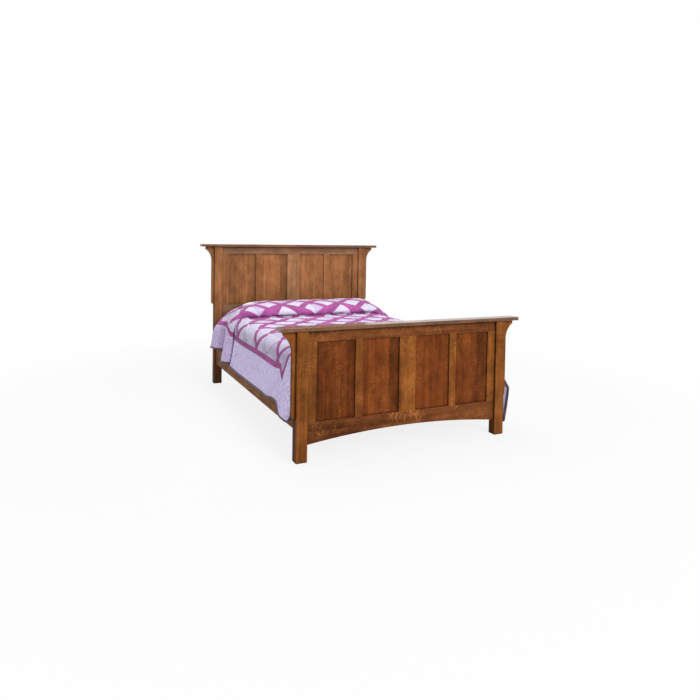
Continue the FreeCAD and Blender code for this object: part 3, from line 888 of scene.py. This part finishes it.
class BED_OT_build_mattress(bpy.types.Operator):
    """Build the tufted mattress and its piped edges"""
    bl_idname = "bed.build_mattress"
    bl_label = "Build the Mattress"

    def execute(self, context):
        soft = context.scene.bed_bedding
        low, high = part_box("mattress")
        cover = ticking("mattress_ticking", soft.ticking_colour, soft.ticking_stripe)
        trim = plain_cloth("mattress_trim", soft.ticking_stripe, 0.001, 0.1)
        upholster("mattress_tufted", "mattress", "mattress_ticking", 0.9,
                  cover, trim, soft.piping_radius,
                  {"top": high.z - 0.118, "base": low.z + 0.03},
                  base=0.03, top=0.12, bulge=0.004, spread=1.4, tuft=0.006)
        return {"FINISHED"}


def places_of(mesh):
    return np.array([vertex.co for vertex in mesh.vertices])


def stuffed(piece, soft):
    """Blow a pad up under its cloth, and keep the cloth near its start."""
    start_mesh = piece.data
    remesh = piece.modifiers.new("Remesh", "REMESH")
    remesh.mode = "VOXEL"
    remesh.voxel_size = soft.voxel
    made_plain(piece)
    bpy.data.meshes.remove(start_mesh)
    rest = places_of(piece.data)
    cloth = piece.modifiers.new("Cloth", "CLOTH")
    cloth.settings.use_pressure = True
    cloth.settings.uniform_pressure_force = soft.pillow_puff
    cloth.settings.effector_weights.gravity = 0.0
    cloth.settings.quality = 6
    cloth.settings.tension_stiffness = 12
    cloth.settings.compression_stiffness = 12
    cloth.settings.bending_stiffness = 0.4
    cloth.point_cache.frame_start = 1
    cloth.point_cache.frame_end = PILLOW_FRAMES
    scene = bpy.context.scene
    for step in range(PILLOW_FRAMES):
        scene.frame_set(step + 1)
    made_plain(piece)
    shift = places_of(piece.data) - rest
    size = np.linalg.norm(shift, axis=1, keepdims=True)
    moved = rest + shift * np.minimum(1.0, PILLOW_CAP / np.maximum(size, 1e-9))
    piece.data.vertices.foreach_set("co", moved.ravel())
    piece.data.update()
    scene.frame_set(1)


def shrunk_copy(node, shares):
    """A welded copy of a solid's mesh, a little smaller about its middle."""
    low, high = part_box(node)
    centre = (low + high) / 2
    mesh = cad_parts[node].data.copy()
    mesh.materials.clear()
    mesh.transform(Matrix.Translation(centre) @ Matrix.Diagonal((*shares, 1.0))
                   @ Matrix.Translation(-centre))
    welded = bmesh.new()
    welded.from_mesh(mesh)
    bmesh.ops.remove_doubles(welded, verts=welded.verts, dist=1e-5)
    bmesh.ops.recalc_face_normals(welded, faces=welded.faces)
    welded.to_mesh(mesh)
    welded.free()
    return mesh


class BED_OT_stuff_pillows(bpy.types.Operator):
    """Stuff both pillows in their cases"""
    bl_idname = "bed.stuff_pillows"
    bl_label = "Stuff the Pillows"

    def execute(self, context):
        soft = context.scene.bed_bedding
        cotton = plain_cloth("pillow_cotton", soft.pillow_colour, 0.0008, 0.9)
        for node in ("pillow_left", "pillow_right"):
            mesh = shrunk_copy(node, (0.985, 0.98, 0.95))
            piece = bpy.data.objects.new(node + "_stuffed", mesh)
            context.scene.collection.objects.link(piece)
            stuffed(piece, soft)
            piece.data.materials.clear()
            piece.data.materials.append(cotton)
            smooth_faces(piece.data)
            settle(piece, "pillow_cotton", node)
        return {"FINISHED"}


# ------------------------------------------------------------------- the quilt
def crest_line():
    """The quilt's middle line over the bed, as (y, z) from the foot hem to the head hem."""
    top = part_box("mattress")[1].z + 0.0093
    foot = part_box("footboard_post_left")[1].y + 0.005
    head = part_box("headboard_post_left")[0].y - 0.005
    at_foot = ((0.0, -0.185), (0.001, -0.10), (0.008, -0.054), (0.027, -0.02),
               (0.063, -0.002), (0.12, 0.0))
    on_bed = ((-0.6, 0.0), (-0.2, 0.0), (0.2, 0.0), (0.40, 0.0), (0.456, -0.001))
    tuck = ((0.486, -0.001), (0.496, 0.004), (0.492, 0.014), (0.486, 0.028),
            (0.491, 0.045), (0.510, 0.066), (0.542, 0.084), (0.585, 0.098))
    on_pillows = ((0.65, 0.109), (0.74, 0.113), (0.84, 0.112), (0.92, 0.104),
                  (0.98, 0.086), (head - 0.02, 0.066), (head, 0.036))
    line = [(foot + y, z) for y, z in at_foot] + [*on_bed, *tuck, *on_pillows]
    return np.array([(y, top + z) for y, z in line])


# Down each side: place on the cloth, end of the crest, where the cloth starts to
# hang (out, up) and the hem (along, out, up); on the right also how flat the
# shoulder is.
LEFT_FALL = [
    (-1.18, 0.58, 0.700, 0.600, -1.040, 0.700, 0.46),
    (-1.165, 0.61, 0.755, 0.600, -1.045, 0.790, 0.36),
    (-1.15, 0.64, 0.776, 0.602, -1.040, 0.845, 0.25),
    (-1.12, 0.65, 0.777, 0.604, -0.995, 0.858, 0.250),
    (-1.075, 0.65, 0.777, 0.604, -0.930, 0.858, 0.250),
    (-1.04, 0.65, 0.777, 0.604, -0.885, 0.856, 0.260),
    (-0.995, 0.65, 0.777, 0.604, -0.845, 0.848, 0.296),
    (-0.945, 0.65, 0.777, 0.604, -0.808, 0.843, 0.316),
    (-0.86, 0.65, 0.777, 0.604, -0.756, 0.840, 0.320),
    (-0.78, 0.65, 0.777, 0.604, -0.715, 0.838, 0.318),
    (-0.62, 0.65, 0.777, 0.604, -0.600, 0.840, 0.304),
    (-0.31, 0.65, 0.777, 0.604, -0.300, 0.842, 0.305),
    (0.0, 0.65, 0.777, 0.604, 0.0, 0.837, 0.300),
    (0.25, 0.65, 0.777, 0.604, 0.25, 0.841, 0.303),
    (0.37, 0.65, 0.777, 0.604, 0.385, 0.838, 0.308),
    (0.42, 0.65, 0.775, 0.602, 0.446, 0.814, 0.312),
    (0.455, 0.66, 0.773, 0.602, 0.488, 0.800, 0.314),
    (0.485, 0.65, 0.790, 0.606, 0.470, 0.824, 0.322),
    (0.525, 0.62, 0.806, 0.610, 0.502, 0.846, 0.319),
    (0.565, 0.56, 0.822, 0.608, 0.545, 0.862, 0.316),
    (0.605, 0.50, 0.826, 0.600, 0.592, 0.866, 0.312),
    (0.645, 0.46, 0.812, 0.588, 0.640, 0.846, 0.328),
    (0.672, 0.43, 0.790, 0.575, 0.672, 0.806, 0.352),
    (0.695, 0.41, 0.800, 0.565, 0.684, 0.822, 0.404),
    (0.73, 0.38, 0.832, 0.545, 0.722, 0.842, 0.402),
    (0.78, 0.35, 0.860, 0.520, 0.775, 0.862, 0.397),
    (0.84, 0.33, 0.876, 0.495, 0.840, 0.878, 0.392),
    (0.90, 0.32, 0.870, 0.480, 0.905, 0.884, 0.386),
    (0.95, 0.31, 0.842, 0.475, 0.965, 0.868, 0.378),
    (1.00, 0.30, 0.795, 0.470, 1.040, 0.832, 0.370),
]
RIGHT_FALL = [
    (-1.18, 0.68, 0.928, 0.318, -1.046, 0.892, 0.070, 2.0),
    (-1.15, 0.68, 0.926, 0.318, -1.042, 0.892, 0.068, 2.0),
    (-1.10, 0.68, 0.918, 0.315, -1.034, 0.890, 0.068, 2.0),
    (-1.06, 0.66, 0.900, 0.325, -1.020, 0.888, 0.072, 1.8),
    (-1.01, 0.62, 0.880, 0.370, -1.000, 0.886, 0.080, 1.4),
    (-0.94, 0.62, 0.845, 0.460, -0.955, 0.884, 0.115, 1.3),
    (-0.86, 0.60, 0.800, 0.570, -0.870, 0.880, 0.165, 1.1),
    (-0.78, 0.58, 0.776, 0.600, -0.785, 0.862, 0.225, 1.15),
    (-0.70, 0.58, 0.775, 0.600, -0.700, 0.850, 0.272, 1.15),
    (-0.55, 0.58, 0.775, 0.600, -0.550, 0.841, 0.290, 1.15),
    (-0.20, 0.58, 0.775, 0.600, -0.200, 0.837, 0.296, 1.15),
    (0.10, 0.58, 0.775, 0.600, 0.100, 0.841, 0.295, 1.15),
    (0.35, 0.58, 0.775, 0.600, 0.350, 0.837, 0.298, 1.15),
    (0.42, 0.57, 0.780, 0.595, 0.425, 0.835, 0.300, 1.15),
    (0.46, 0.56, 0.800, 0.585, 0.468, 0.847, 0.305, 1.2),
    (0.50, 0.55, 0.840, 0.575, 0.500, 0.862, 0.310, 1.35),
    (0.56, 0.53, 0.865, 0.565, 0.548, 0.876, 0.318, 1.4),
    (0.64, 0.52, 0.880, 0.560, 0.630, 0.890, 0.330, 1.4),
    (0.74, 0.56, 0.888, 0.560, 0.735, 0.880, 0.345, 1.4),
    (0.84, 0.61, 0.890, 0.560, 0.840, 0.892, 0.352, 1.4),
    (0.94, 0.60, 0.870, 0.555, 0.940, 0.872, 0.360, 1.4),
    (1.00, 0.58, 0.850, 0.550, 1.040, 0.866, 0.362, 1.4),
]
LEFT_SLUMP = 1.0        # the left shoulder is evenly round
BED_POINT = 5           # the crest's first point on the flat of the bed
STRETCH = 1.047         # of the patchwork over the middle of the bed, up to the pillows
STRETCH_FROM = -0.93
STRETCH_TO = 0.455
SECTION_STEPS = (12, 40, 30)    # points over the flat, round the shoulder, down the fall

# Places on the cloth, in metres along the bed
PILLOW_FRONT = 0.440    # where the pillows' row of triangles starts
# TUCK_LINE: a painted shadow line where the cloth tucks in below the pillows
TUCK_LINE = 0.449
FOLD_LINE = 0.460       # painted shadow line in the gap in front of the first side fold
FOLD_SHADE = 0.700      # painted shade in the hollow between the side folds
PULLED_UP = 0.61        # where the left stripe is drawn up over the pillow


def path_length(*axes):
    """How far along a line of points each one lies."""
    steps = np.linalg.norm(np.diff(np.stack(axes, -1), axis=0), axis=1)
    return np.concatenate([[0.0], np.cumsum(steps)])


def crest_at(places):
    """Y and Z of the crest at places along the cloth."""
    y, z = crest_line().T
    run = path_length(y, z)
    run = run - run[BED_POINT] + y[BED_POINT]
    goal = np.where(places < STRETCH_TO,
                    STRETCH_FROM + (places - STRETCH_FROM) * STRETCH,
                    STRETCH_FROM + (STRETCH_TO - STRETCH_FROM) * STRETCH
                    + (places - STRETCH_TO))
    return smooth_through(run, y, goal), smooth_through(run, z, goal)


def half_section(crest_y, crest_z, row, columns):
    """Points from the middle to a hem, evenly spaced along the cloth."""
    end_x, side_x, side_z, hem_y, hem_x, hem_z, slump = row
    over, round_, down = SECTION_STEPS
    flat = np.linspace(0, 1, over, endpoint=False)
    turn = np.linspace(0, math.pi / 2, round_, endpoint=False)
    fall = np.linspace(0, 1, down)
    x = np.concatenate([flat * end_x,
                        end_x + (side_x - end_x) * np.sin(turn),
                        side_x + (hem_x - side_x) * fall ** 1.3])
    z = np.concatenate([np.full(over, crest_z),
                        side_z + (crest_z - side_z) * np.cos(turn) ** slump,
                        side_z + (hem_z - side_z) * fall])
    far = path_length(x, z)
    share = ease(far, end_x * 0.92, end_x + (far[-1] - end_x) * 0.62)
    y = crest_y + (hem_y - crest_y) * share
    at = np.linspace(0, far[-1], columns + 1)
    return np.stack([np.interp(at, far, axis) for axis in (x, y, z)], -1)


def quilt_grid(cloth):
    """Every point of the quilt's upper face, and its place on the flat cloth."""
    v = np.linspace(cloth.foot, cloth.head, cloth.rows + 1)
    crest_y, crest_z = crest_at(v)
    halves = []
    for table in ([(*row, LEFT_SLUMP) for row in LEFT_FALL], RIGHT_FALL):
        places, *columns = zip(*table)
        rows = np.stack([smooth_through(places, column, v) for column in columns], -1)
        halves.append(np.array([half_section(*ends, cloth.columns)
                                for ends in zip(crest_y, crest_z, rows)]))
    left, right = halves
    left = left * np.array([-1.0, 1.0, 1.0])
    grid = np.concatenate([left[:, :0:-1], right], axis=1)
    u = np.linspace(-cloth.half_width, cloth.half_width, grid.shape[1])
    return grid, u, v


def seam_distance(cloth, u, v):
    """Distance to the nearest seam of the diamond lattice, in metres."""
    slope = math.hypot(1 / cloth.cell_width, 1 / cloth.cell_length)
    away = []
    for sign in (1, -1):
        p = u / cloth.cell_width + sign * (v - cloth.cell_start) / cloth.cell_length
        away.append(np.abs(p - np.round(p)) / slope)
    return np.abs(np.minimum(*away) - cloth.strip / 2)


def quilt_normals(grid):
    normal = np.cross(np.gradient(grid, axis=1), np.gradient(grid, axis=0))
    return normal / np.maximum(np.linalg.norm(normal, axis=2, keepdims=True), 1e-9)


def puffed(cloth, grid, u, v):
    """Lift the cloth by its padding, its rumples and its hanging folds."""
    u, v = np.meshgrid(u, v)
    field = cloth.half_width - cloth.border - cloth.stripe
    on_top = ease(-np.abs(u), -0.80, -0.66) * ease(-v, -0.42, -0.32) * ease(v, -1.0, -0.9)
    hanging = ease(np.abs(u), 0.80, 1.12)
    on_pillow = ease(v, 0.44, 0.55)
    lift = 0.0022 * ease(seam_distance(cloth, u, v), 0.0, 0.022) * (np.abs(u) < field)
    rumple = swell(u, v + u * 0.10, 0.42, 0.062, 3)
    lift = lift + on_top * 0.0065 * np.maximum(rumple, 0) ** 1.5
    for where, height, size_u, size_v, seed in ((on_top, 0.0020, 0.16, 0.11, 5),
                                                (hanging, 0.009, 0.9, 0.12, 11),
                                                (on_pillow, 0.004, 0.22, 0.16, 8)):
        lift = lift + where * height * (0.5 + 0.5 * swell(u, v, size_u, size_v, seed))
    return grid + quilt_normals(grid) * lift[..., None]


class Patchwork:
    """The quilt's finish on its flat cloth: u runs across the bed and v along it."""

    def __init__(self, name, cloth):
        self.graph = Graph(name)
        self.cloth = cloth
        uv = self.graph.node("ShaderNodeUVMap", {"uv_map": "cloth"})
        self.u, self.v = self.graph.parts(uv)[:2]
        self.wander = self.noise(9)
        self.shade = self.noise(7)
        self.blotch = self.noise(38, 3.0, 0.6)
        self.cool = self.noise(17, 3.0, 0.6, shift=(0.0, 3.0))
        faded = self.shade.rise(0.3, 0.6) * 0.30 + self.blotch.rise(0.45, 0.75) * 0.25
        self.rich = self.graph.mix(faded, cloth.magenta, cloth.plum)
        self.sew()
        self.divide()

    def noise(self, pitch, detail=2.0, rough=0.5, warp=0.0, shift=(0.0, 0.0)):
        """Noise on the flat cloth, with pitch hills to the metre."""
        place = self.graph.vector(self.u * pitch + shift[0], self.v * pitch + shift[1])
        return self.graph.noise(place, detail, rough, warp)

    def ripples(self, run, pitch):
        """0 on even lines along a run, rising to 0.5 midway between them."""
        return abs((run / pitch).modulo(1.0) - 0.5)

    def sew(self):
        """Where the patchwork lies: a little wavy, and gathered on the pillows."""
        u, v = self.u, self.v
        sway = self.noise(9, shift=(5.0, 2.0))
        lifted = v.rise(0.36, 0.46)
        self.u_sewn = u * (1.0 + lifted * 0.035) + (self.wander - 0.5) * 0.018
        v_sewn = v + (sway - 0.5) * 0.018
        heart_share = (self.u_sewn * (math.pi / self.cloth.cell_width) + math.pi / 2).sine()
        gathered = lifted * (0.028 + heart_share * 0.027 - u.rise(0.15, 0.60) * 0.026)
        self.along = v_sewn - self.cloth.cell_start - gathered

    def divide(self):
        """Which diamond a point is in, its place there and how far the next seam is."""
        width, length = self.cloth.cell_width, self.cloth.cell_length
        p = self.u_sewn / width + self.along / length
        q = self.u_sewn / width - self.along / length
        m, n = p.floor(), q.floor()
        fp, fq = p - m - 0.5, q - n - 0.5
        slope = math.hypot(1 / width, 1 / length)
        self.seam = (0.5 - abs(fp)).least(0.5 - abs(fq)) / slope
        self.x = (fp + fq) * (width / 2)
        self.y = (fp - fq) * (length / 2)
        self.scrap = self.graph.chance(m * 7.0 + n * 13.0)
        self.column = (m + n + 1.0).modulo(4.0)
        self.heart_cell = self.column.below(0.5)
        self.peak_cell = abs(self.column - 2.0).below(0.5)

    def strips(self):
        """The lattice: wider beside a heart, and left out between the outer points."""
        cloth = self.cloth
        edge = abs(self.u_sewn).above(cloth.cell_width * 2.5)
        turn = (self.along / cloth.cell_length + 0.5).floor().modulo(2.0)
        self.missing = edge * turn.above(0.5)
        wide = cloth.strip / 2 + self.heart_cell * 0.005 + (self.wander - 0.5) * 0.010
        self.wide = wide + (1.0 - abs(self.u).rise(0.60, 0.74)) * 0.007
        return self.seam.below(self.wide) * (1.0 - self.missing)

    def diamonds(self):
        """White and pale scraps between the strips, some notched to a heart."""
        graph, cloth = self.graph, self.cloth
        dots = self.noise(150, 1.0).rise(0.5, 0.62)
        white = graph.mix(dots * 0.35 + self.blotch.rise(0.45, 0.7) * 0.35, cloth.white,
                          cloth.lilac)
        self.white = graph.mix(self.cool.rise(0.48, 0.66) * 0.6, white, cloth.shade_white)
        pale = graph.mix(0.55 + self.shade * 0.4, cloth.white, cloth.lilac)
        notch = (self.y - abs(self.x) * 1.2).above(cloth.cell_length * 0.17)
        patch = graph.mix(self.scrap.above(0.6) * self.x.above(0.0), self.white, pale)
        patch = graph.mix(self.peak_cell * self.y.below(-0.02), patch, pale)
        return graph.mix(self.strips().most(notch * self.heart_cell), patch, self.rich)

    def peaks(self, patch):
        """Whole triangles along the front of the pillows, and marks at the outer points."""
        graph, cloth = self.graph, self.cloth
        on_pillow = self.v.above(PILLOW_FRONT)
        rung = self.along - 0.105
        front = on_pillow * rung.below(0.10)
        tips = abs(self.column.modulo(2.0) - 1.0).below(0.5) * on_pillow * rung.below(0.045)
        patch = graph.mix(tips.most(self.peak_cell * front), patch, self.rich)
        peak_pitch = cloth.cell_width * 2
        from_peak = self.ripples(self.u_sewn, peak_pitch) * peak_pitch
        peak = from_peak.below((0.118 - rung) * 0.80) * front * rung.above(-0.012)
        patch = graph.mix(peak, patch, self.white)
        tip_u = abs(abs(self.u_sewn) - cloth.cell_width * 3 + 0.004)
        tip_v = abs((self.along / cloth.cell_length + 0.5).modulo(1.0) - 0.5)
        mark = (tip_v * cloth.cell_length * 3.2 + tip_u).below(0.024) * self.missing
        return graph.mix(mark, patch, cloth.plum)

    def framed(self, patch):
        """The patchwork inside its stripe and its mottled border."""
        graph, cloth, u, v = self.graph, self.cloth, self.u, self.v
        side_field = cloth.half_width - cloth.border - cloth.stripe
        foot_field = cloth.foot + cloth.border + cloth.stripe
        droop = (-v - 0.80).most(0.0) * 0.42 + (-v).rise(0.0, 0.9) * 0.014
        pulled = (1.0 - abs(v - PULLED_UP).rise(0.0, 0.10)) * u.below(0.0) * 0.075
        out = abs(u) - droop + pulled
        self.outside = out.above(side_field).most(v.below(foot_field))
        self.border = out.above(side_field + cloth.stripe).most(
            v.below(foot_field - cloth.stripe))
        dots = self.noise(210, 1.0).rise(0.42, 0.62)
        mottle = self.noise(75, 3.0, 0.7)
        plain = graph.mix(self.shade.rise(0.3, 0.7) * 0.5 + dots * 0.3, cloth.lavender,
                          graph.mix(0.45, cloth.lavender, cloth.white))
        plain = graph.tint(plain, 0.90 + mottle.rise(0.3, 0.7) * 0.18)
        plain = graph.mix(self.cool.rise(0.5, 0.7) * 0.22, plain, cloth.magenta)
        return graph.mix(self.border, graph.mix(self.outside, patch, self.rich), plain)

    def quilting(self):
        """0 in a stitched line and 1 between: echoes of the seams, waves in the border."""
        swirl = self.noise(5, 1.0)
        wave = self.ripples(self.u * 0.8 + self.v * 0.6 + swirl * 0.12, 0.030)
        counter = self.ripples(self.u * 0.8 - self.v * 0.6 + swirl * 0.10, 0.038)
        echo = self.ripples(self.seam, 0.019)
        stitched = echo * (1.0 - self.border) + wave.least(counter) * self.border
        return stitched.rise(0.0, 0.22)

    def painted_fold_shadows(self):
        """Painted shadow: dark lines where the sides fold back and where the cloth tucks in,
        and painted shade in the hollow between the side folds.
        """
        graph, u, v = self.graph, self.u, self.v
        fold = (1.0 - abs(v - FOLD_LINE).rise(0.008, 0.026)) * (-u).rise(0.83, 0.88)
        hollow = (1.0 - abs(v - FOLD_SHADE).rise(0.0, 0.09)) * (-u).rise(0.84, 0.94)
        broken = graph.noise(graph.vector(u * 5, 0.0, 4.0), 1.0).rise(0.44, 0.56)
        tuck = (1.0 - abs(v - TUCK_LINE).rise(0.004, 0.014)) * broken * abs(u).below(0.76)
        return (fold + hollow * 0.34).most(tuck * 0.75)

    def finish(self):
        """The colours and relief together, as a material."""
        graph, cloth, u, v = self.graph, self.cloth, self.u, self.v
        colour = self.framed(self.peaks(self.diamonds()))
        groove = self.quilting()
        seam_edge = abs(self.seam - self.wide).rise(0.0, 0.007).most(self.outside)
        crumple = self.noise(26, 3.0, 0.6, 0.4)
        ruck = graph.noise(graph.vector(u * 6, v * 19), 3.0, 0.6, 0.8)
        weave = cloth_weave(u, v, 0.0012)
        # painted light and shade: darker in the stitched lines, at the strip seams and in
        # creases, lighter and darker over the crumples and rucks
        tone = 0.90 + groove * 0.14 + seam_edge * 0.04 + (crumple - 0.5) * 0.16
        tone = tone + (ruck - 0.5) * 0.22 - (1.0 - graph.crevice(0.05)).rise(0.1, 0.9) * 0.42
        # painted shade on the left side folds: darker and pinker towards the magenta
        painted_fold_shade = v.rise(0.44, 0.52) * (-u).rise(0.80, 0.95)
        colour = graph.mix(painted_fold_shade * 0.16, graph.tint(colour, tone), cloth.magenta)
        # painted shadow lines and painted shade between the folds, in plum
        colour = graph.mix(self.painted_fold_shadows() * 0.9, colour, cloth.plum)
        height = groove * 0.9 + seam_edge * 0.9 + crumple * 1.3 + ruck * 2.4 + weave * 0.04
        return graph.finish({
            "Base Color": colour,
            "Roughness": 0.86 + crumple * 0.08,
            "Specular IOR Level": 0.2,
            "Sheen Weight": 0.1,
            "Normal": graph.bump(height, 0.0042, 0.9),
        })


def quilt_piece(cloth, grid, u, v):
    """The quilt as one cloth: patchwork above, lining below and its real thickness."""
    rows, columns = grid.shape[:2]
    faces = [(a, a + 1, a + columns + 1, a + columns)
             for start in range(0, (rows - 1) * columns, columns)
             for a in range(start, start + columns - 1)]
    top = Patchwork("quilt_patchwork", cloth).finish()
    lining = plain_cloth("quilt_lining", cloth.lining, 0.0012, 0.4)
    piece = new_piece("quilt_cloth", grid.reshape(-1, 3), faces, [top, lining])
    layer = piece.data.uv_layers.new(name="cloth")
    corner = np.zeros(len(piece.data.loops), dtype=int)
    piece.data.loops.foreach_get("vertex_index", corner)
    flat = np.stack([u[corner % columns], v[corner // columns]], -1)
    layer.data.foreach_set("uv", flat.ravel())
    shell = piece.modifiers.new("Thickness", "SOLIDIFY")
    shell.thickness = cloth.thickness
    shell.offset = -1.0
    shell.use_rim = True
    shell.material_offset = 1
    shell.material_offset_rim = 1
    return piece


def hem_loop(grid, thickness):
    """The quilt's outer edge, in the middle of its thickness, as one closed line."""
    middle = grid - quilt_normals(grid) * thickness / 2
    return [*middle[0], *middle[1:, -1], *middle[-1, -2::-1], *middle[-2:0:-1, 0]]


class BED_OT_lay_quilt(bpy.types.Operator):
    """Lay the patchwork quilt over the mattress and pillows, and bind its hems"""
    bl_idname = "bed.lay_quilt"
    bl_label = "Lay the Quilt"

    def execute(self, context):
        cloth = context.scene.bed_quilt
        grid, u, v = quilt_grid(cloth)
        grid = puffed(cloth, grid, u, v)
        piece = quilt_piece(cloth, grid, u, v)
        bound = plain_cloth("quilt_binding_cloth", cloth.plum, 0.001, 0.2)
        binding = corded("quilt_binding", hem_loop(grid, cloth.thickness), bound,
                         cloth.binding)
        settle(piece, "quilt_cotton", "quilt")
        settle(binding, "quilt_cotton")
        return {"FINISHED"}


# ----------------------------------------------------------------------- stage
FLOOR_REACH = 60.0      # of the floor, each way from the middle
SENSOR = 36.0           # the camera's sensor, in millimetres


def soft_light(name, power, size, place, aim):
    """A square lamp that looks at a point."""
    lamp = bpy.data.lights.new(name, "AREA")
    lamp.energy = power
    lamp.size = size
    thing = bpy.data.objects.new(name, lamp)
    bpy.context.scene.collection.objects.link(thing)
    thing.location = place
    thing.rotation_mode = "QUATERNION"
    thing.rotation_quaternion = (Vector(aim) - Vector(place)).to_track_quat("-Z", "Y")


def seen_white(graph, share, shader, white):
    """Mix a shader with plain white where the camera, gloss or glass looks at it."""
    look = graph.node("ShaderNodeLightPath", output="Is Camera Ray")
    gloss = Wire(graph, look.socket.node.outputs["Is Glossy Ray"])
    through = Wire(graph, look.socket.node.outputs["Is Transmission Ray"])
    plain = graph.node(white, {}, {"Color": (1.0, 1.0, 1.0, 1.0), "Strength": 1.0})
    return graph.node("ShaderNodeMixShader", {},
                      {0: look.most(gloss).most(through) * share, 1: shader, 2: plain})


def light_air(stage):
    """Light from all round, in front of a white background."""
    sky = Graph("studio", "worlds")
    air = sky.node("ShaderNodeBackground", {}, {"Color": (0.97, 0.985, 1.0, 1.0),
                                                "Strength": stage.sky})
    return sky.end(seen_white(sky, 1.0, air, "ShaderNodeBackground"),
                   "ShaderNodeOutputWorld")


def lay_floor(stage):
    """A pale floor that keeps the bed's shadow and fades to white further off."""
    graph = Graph("pale_floor")
    x, y, z = graph.axes()
    away = (x * x + y * y).root().rise(stage.floor_near, stage.floor_far)
    pale = graph.node("ShaderNodeBsdfDiffuse", {}, {"Color": (0.66, 0.66, 0.66, 1.0)})
    share = stage.floor_white + away * (1.0 - stage.floor_white)
    material = graph.end(seen_white(graph, share, pale, "ShaderNodeEmission"))
    corners = [(-1, -1), (1, -1), (1, 1), (-1, 1)]
    floor = new_piece("floor", [(x * FLOOR_REACH, y * FLOOR_REACH, 0) for x, y in corners],
                      [(0, 1, 2, 3)], [material])


def stand_camera(stage):
    """The camera of the photograph: its lens, its place and its turn."""
    yaw, pitch, roll = stage.camera_turn
    forward = Vector((math.sin(yaw) * math.cos(pitch), math.cos(yaw) * math.cos(pitch),
                      math.sin(pitch)))
    level = Vector((math.cos(yaw), -math.sin(yaw), 0.0))
    upright = level.cross(forward)
    right = level * math.cos(roll) + upright * math.sin(roll)
    up = upright * math.cos(roll) - level * math.sin(roll)
    lens = bpy.data.cameras.new("camera")
    lens.sensor_width = SENSOR
    lens.lens = stage.focal_pixels * SENSOR / stage.picture_side
    lens.shift_x = (stage.picture_side / 2 - stage.centre_x) / stage.picture_side
    lens.shift_y = (stage.centre_y - stage.picture_side / 2) / stage.picture_side
    camera = bpy.data.objects.new("camera", lens)
    bpy.context.scene.collection.objects.link(camera)
    camera.matrix_world = Matrix.Translation(stage.camera_place) @ Matrix(
        (right, up, -forward)).transposed().to_4x4()
    return camera


class BED_OT_set_stage(bpy.types.Operator):
    """Lay the pale floor, hang the lights and stand the camera"""
    bl_idname = "bed.set_stage"
    bl_label = "Set the Stage"

    def execute(self, context):
        stage = context.scene.bed_stage
        context.scene.world = light_air(stage)
        lay_floor(stage)
        soft_light("key", stage.key, 4.6, (1.9, -9.6, 5.0), (0.0, 0.0, 0.6))
        soft_light("overhead", stage.top, 2.4, (-0.3, -0.2, 3.4), (-0.1, 0.2, 0.5))
        context.scene.camera = stand_camera(stage)
        context.scene.view_settings.view_transform = "Standard"
        return {"FINISHED"}


class BED_PT_panel(bpy.types.Panel):
    """The steps that dress the bed, in order"""
    bl_label = "Oak Panel Bed"
    bl_idname = "BED_PT_panel"
    bl_space_type = "VIEW_3D"
    bl_region_type = "UI"
    bl_category = "Bed"

    def draw(self, context):
        for step in STEPS:
            self.layout.operator(step.bl_idname)


STEPS = (
    BED_OT_stain_oak,
    BED_OT_finish_base,
    BED_OT_drive_screws,
    BED_OT_cover_box_spring,
    BED_OT_build_mattress,
    BED_OT_stuff_pillows,
    BED_OT_lay_quilt,
    BED_OT_set_stage,
)


def register():
    for name, group in SETTINGS.items():
        bpy.utils.register_class(group)
        setattr(bpy.types.Scene, name, bpy.props.PointerProperty(type=group))
    for step in STEPS:
        bpy.utils.register_class(step)
    bpy.utils.register_class(BED_PT_panel)


def unregister():
    bpy.utils.unregister_class(BED_PT_panel)
    for step in reversed(STEPS):
        bpy.utils.unregister_class(step)
    for name, group in SETTINGS.items():
        delattr(bpy.types.Scene, name)
        bpy.utils.unregister_class(group)


def main():
    register()
    bpy.ops.bed.stain_oak()
    bpy.ops.bed.finish_base()
    bpy.ops.bed.drive_screws()
    bpy.ops.bed.cover_box_spring()
    bpy.ops.bed.build_mattress()
    bpy.ops.bed.stuff_pillows()
    bpy.ops.bed.lay_quilt()
    bpy.ops.bed.set_stage()


if __name__ == "__main__":
    main()
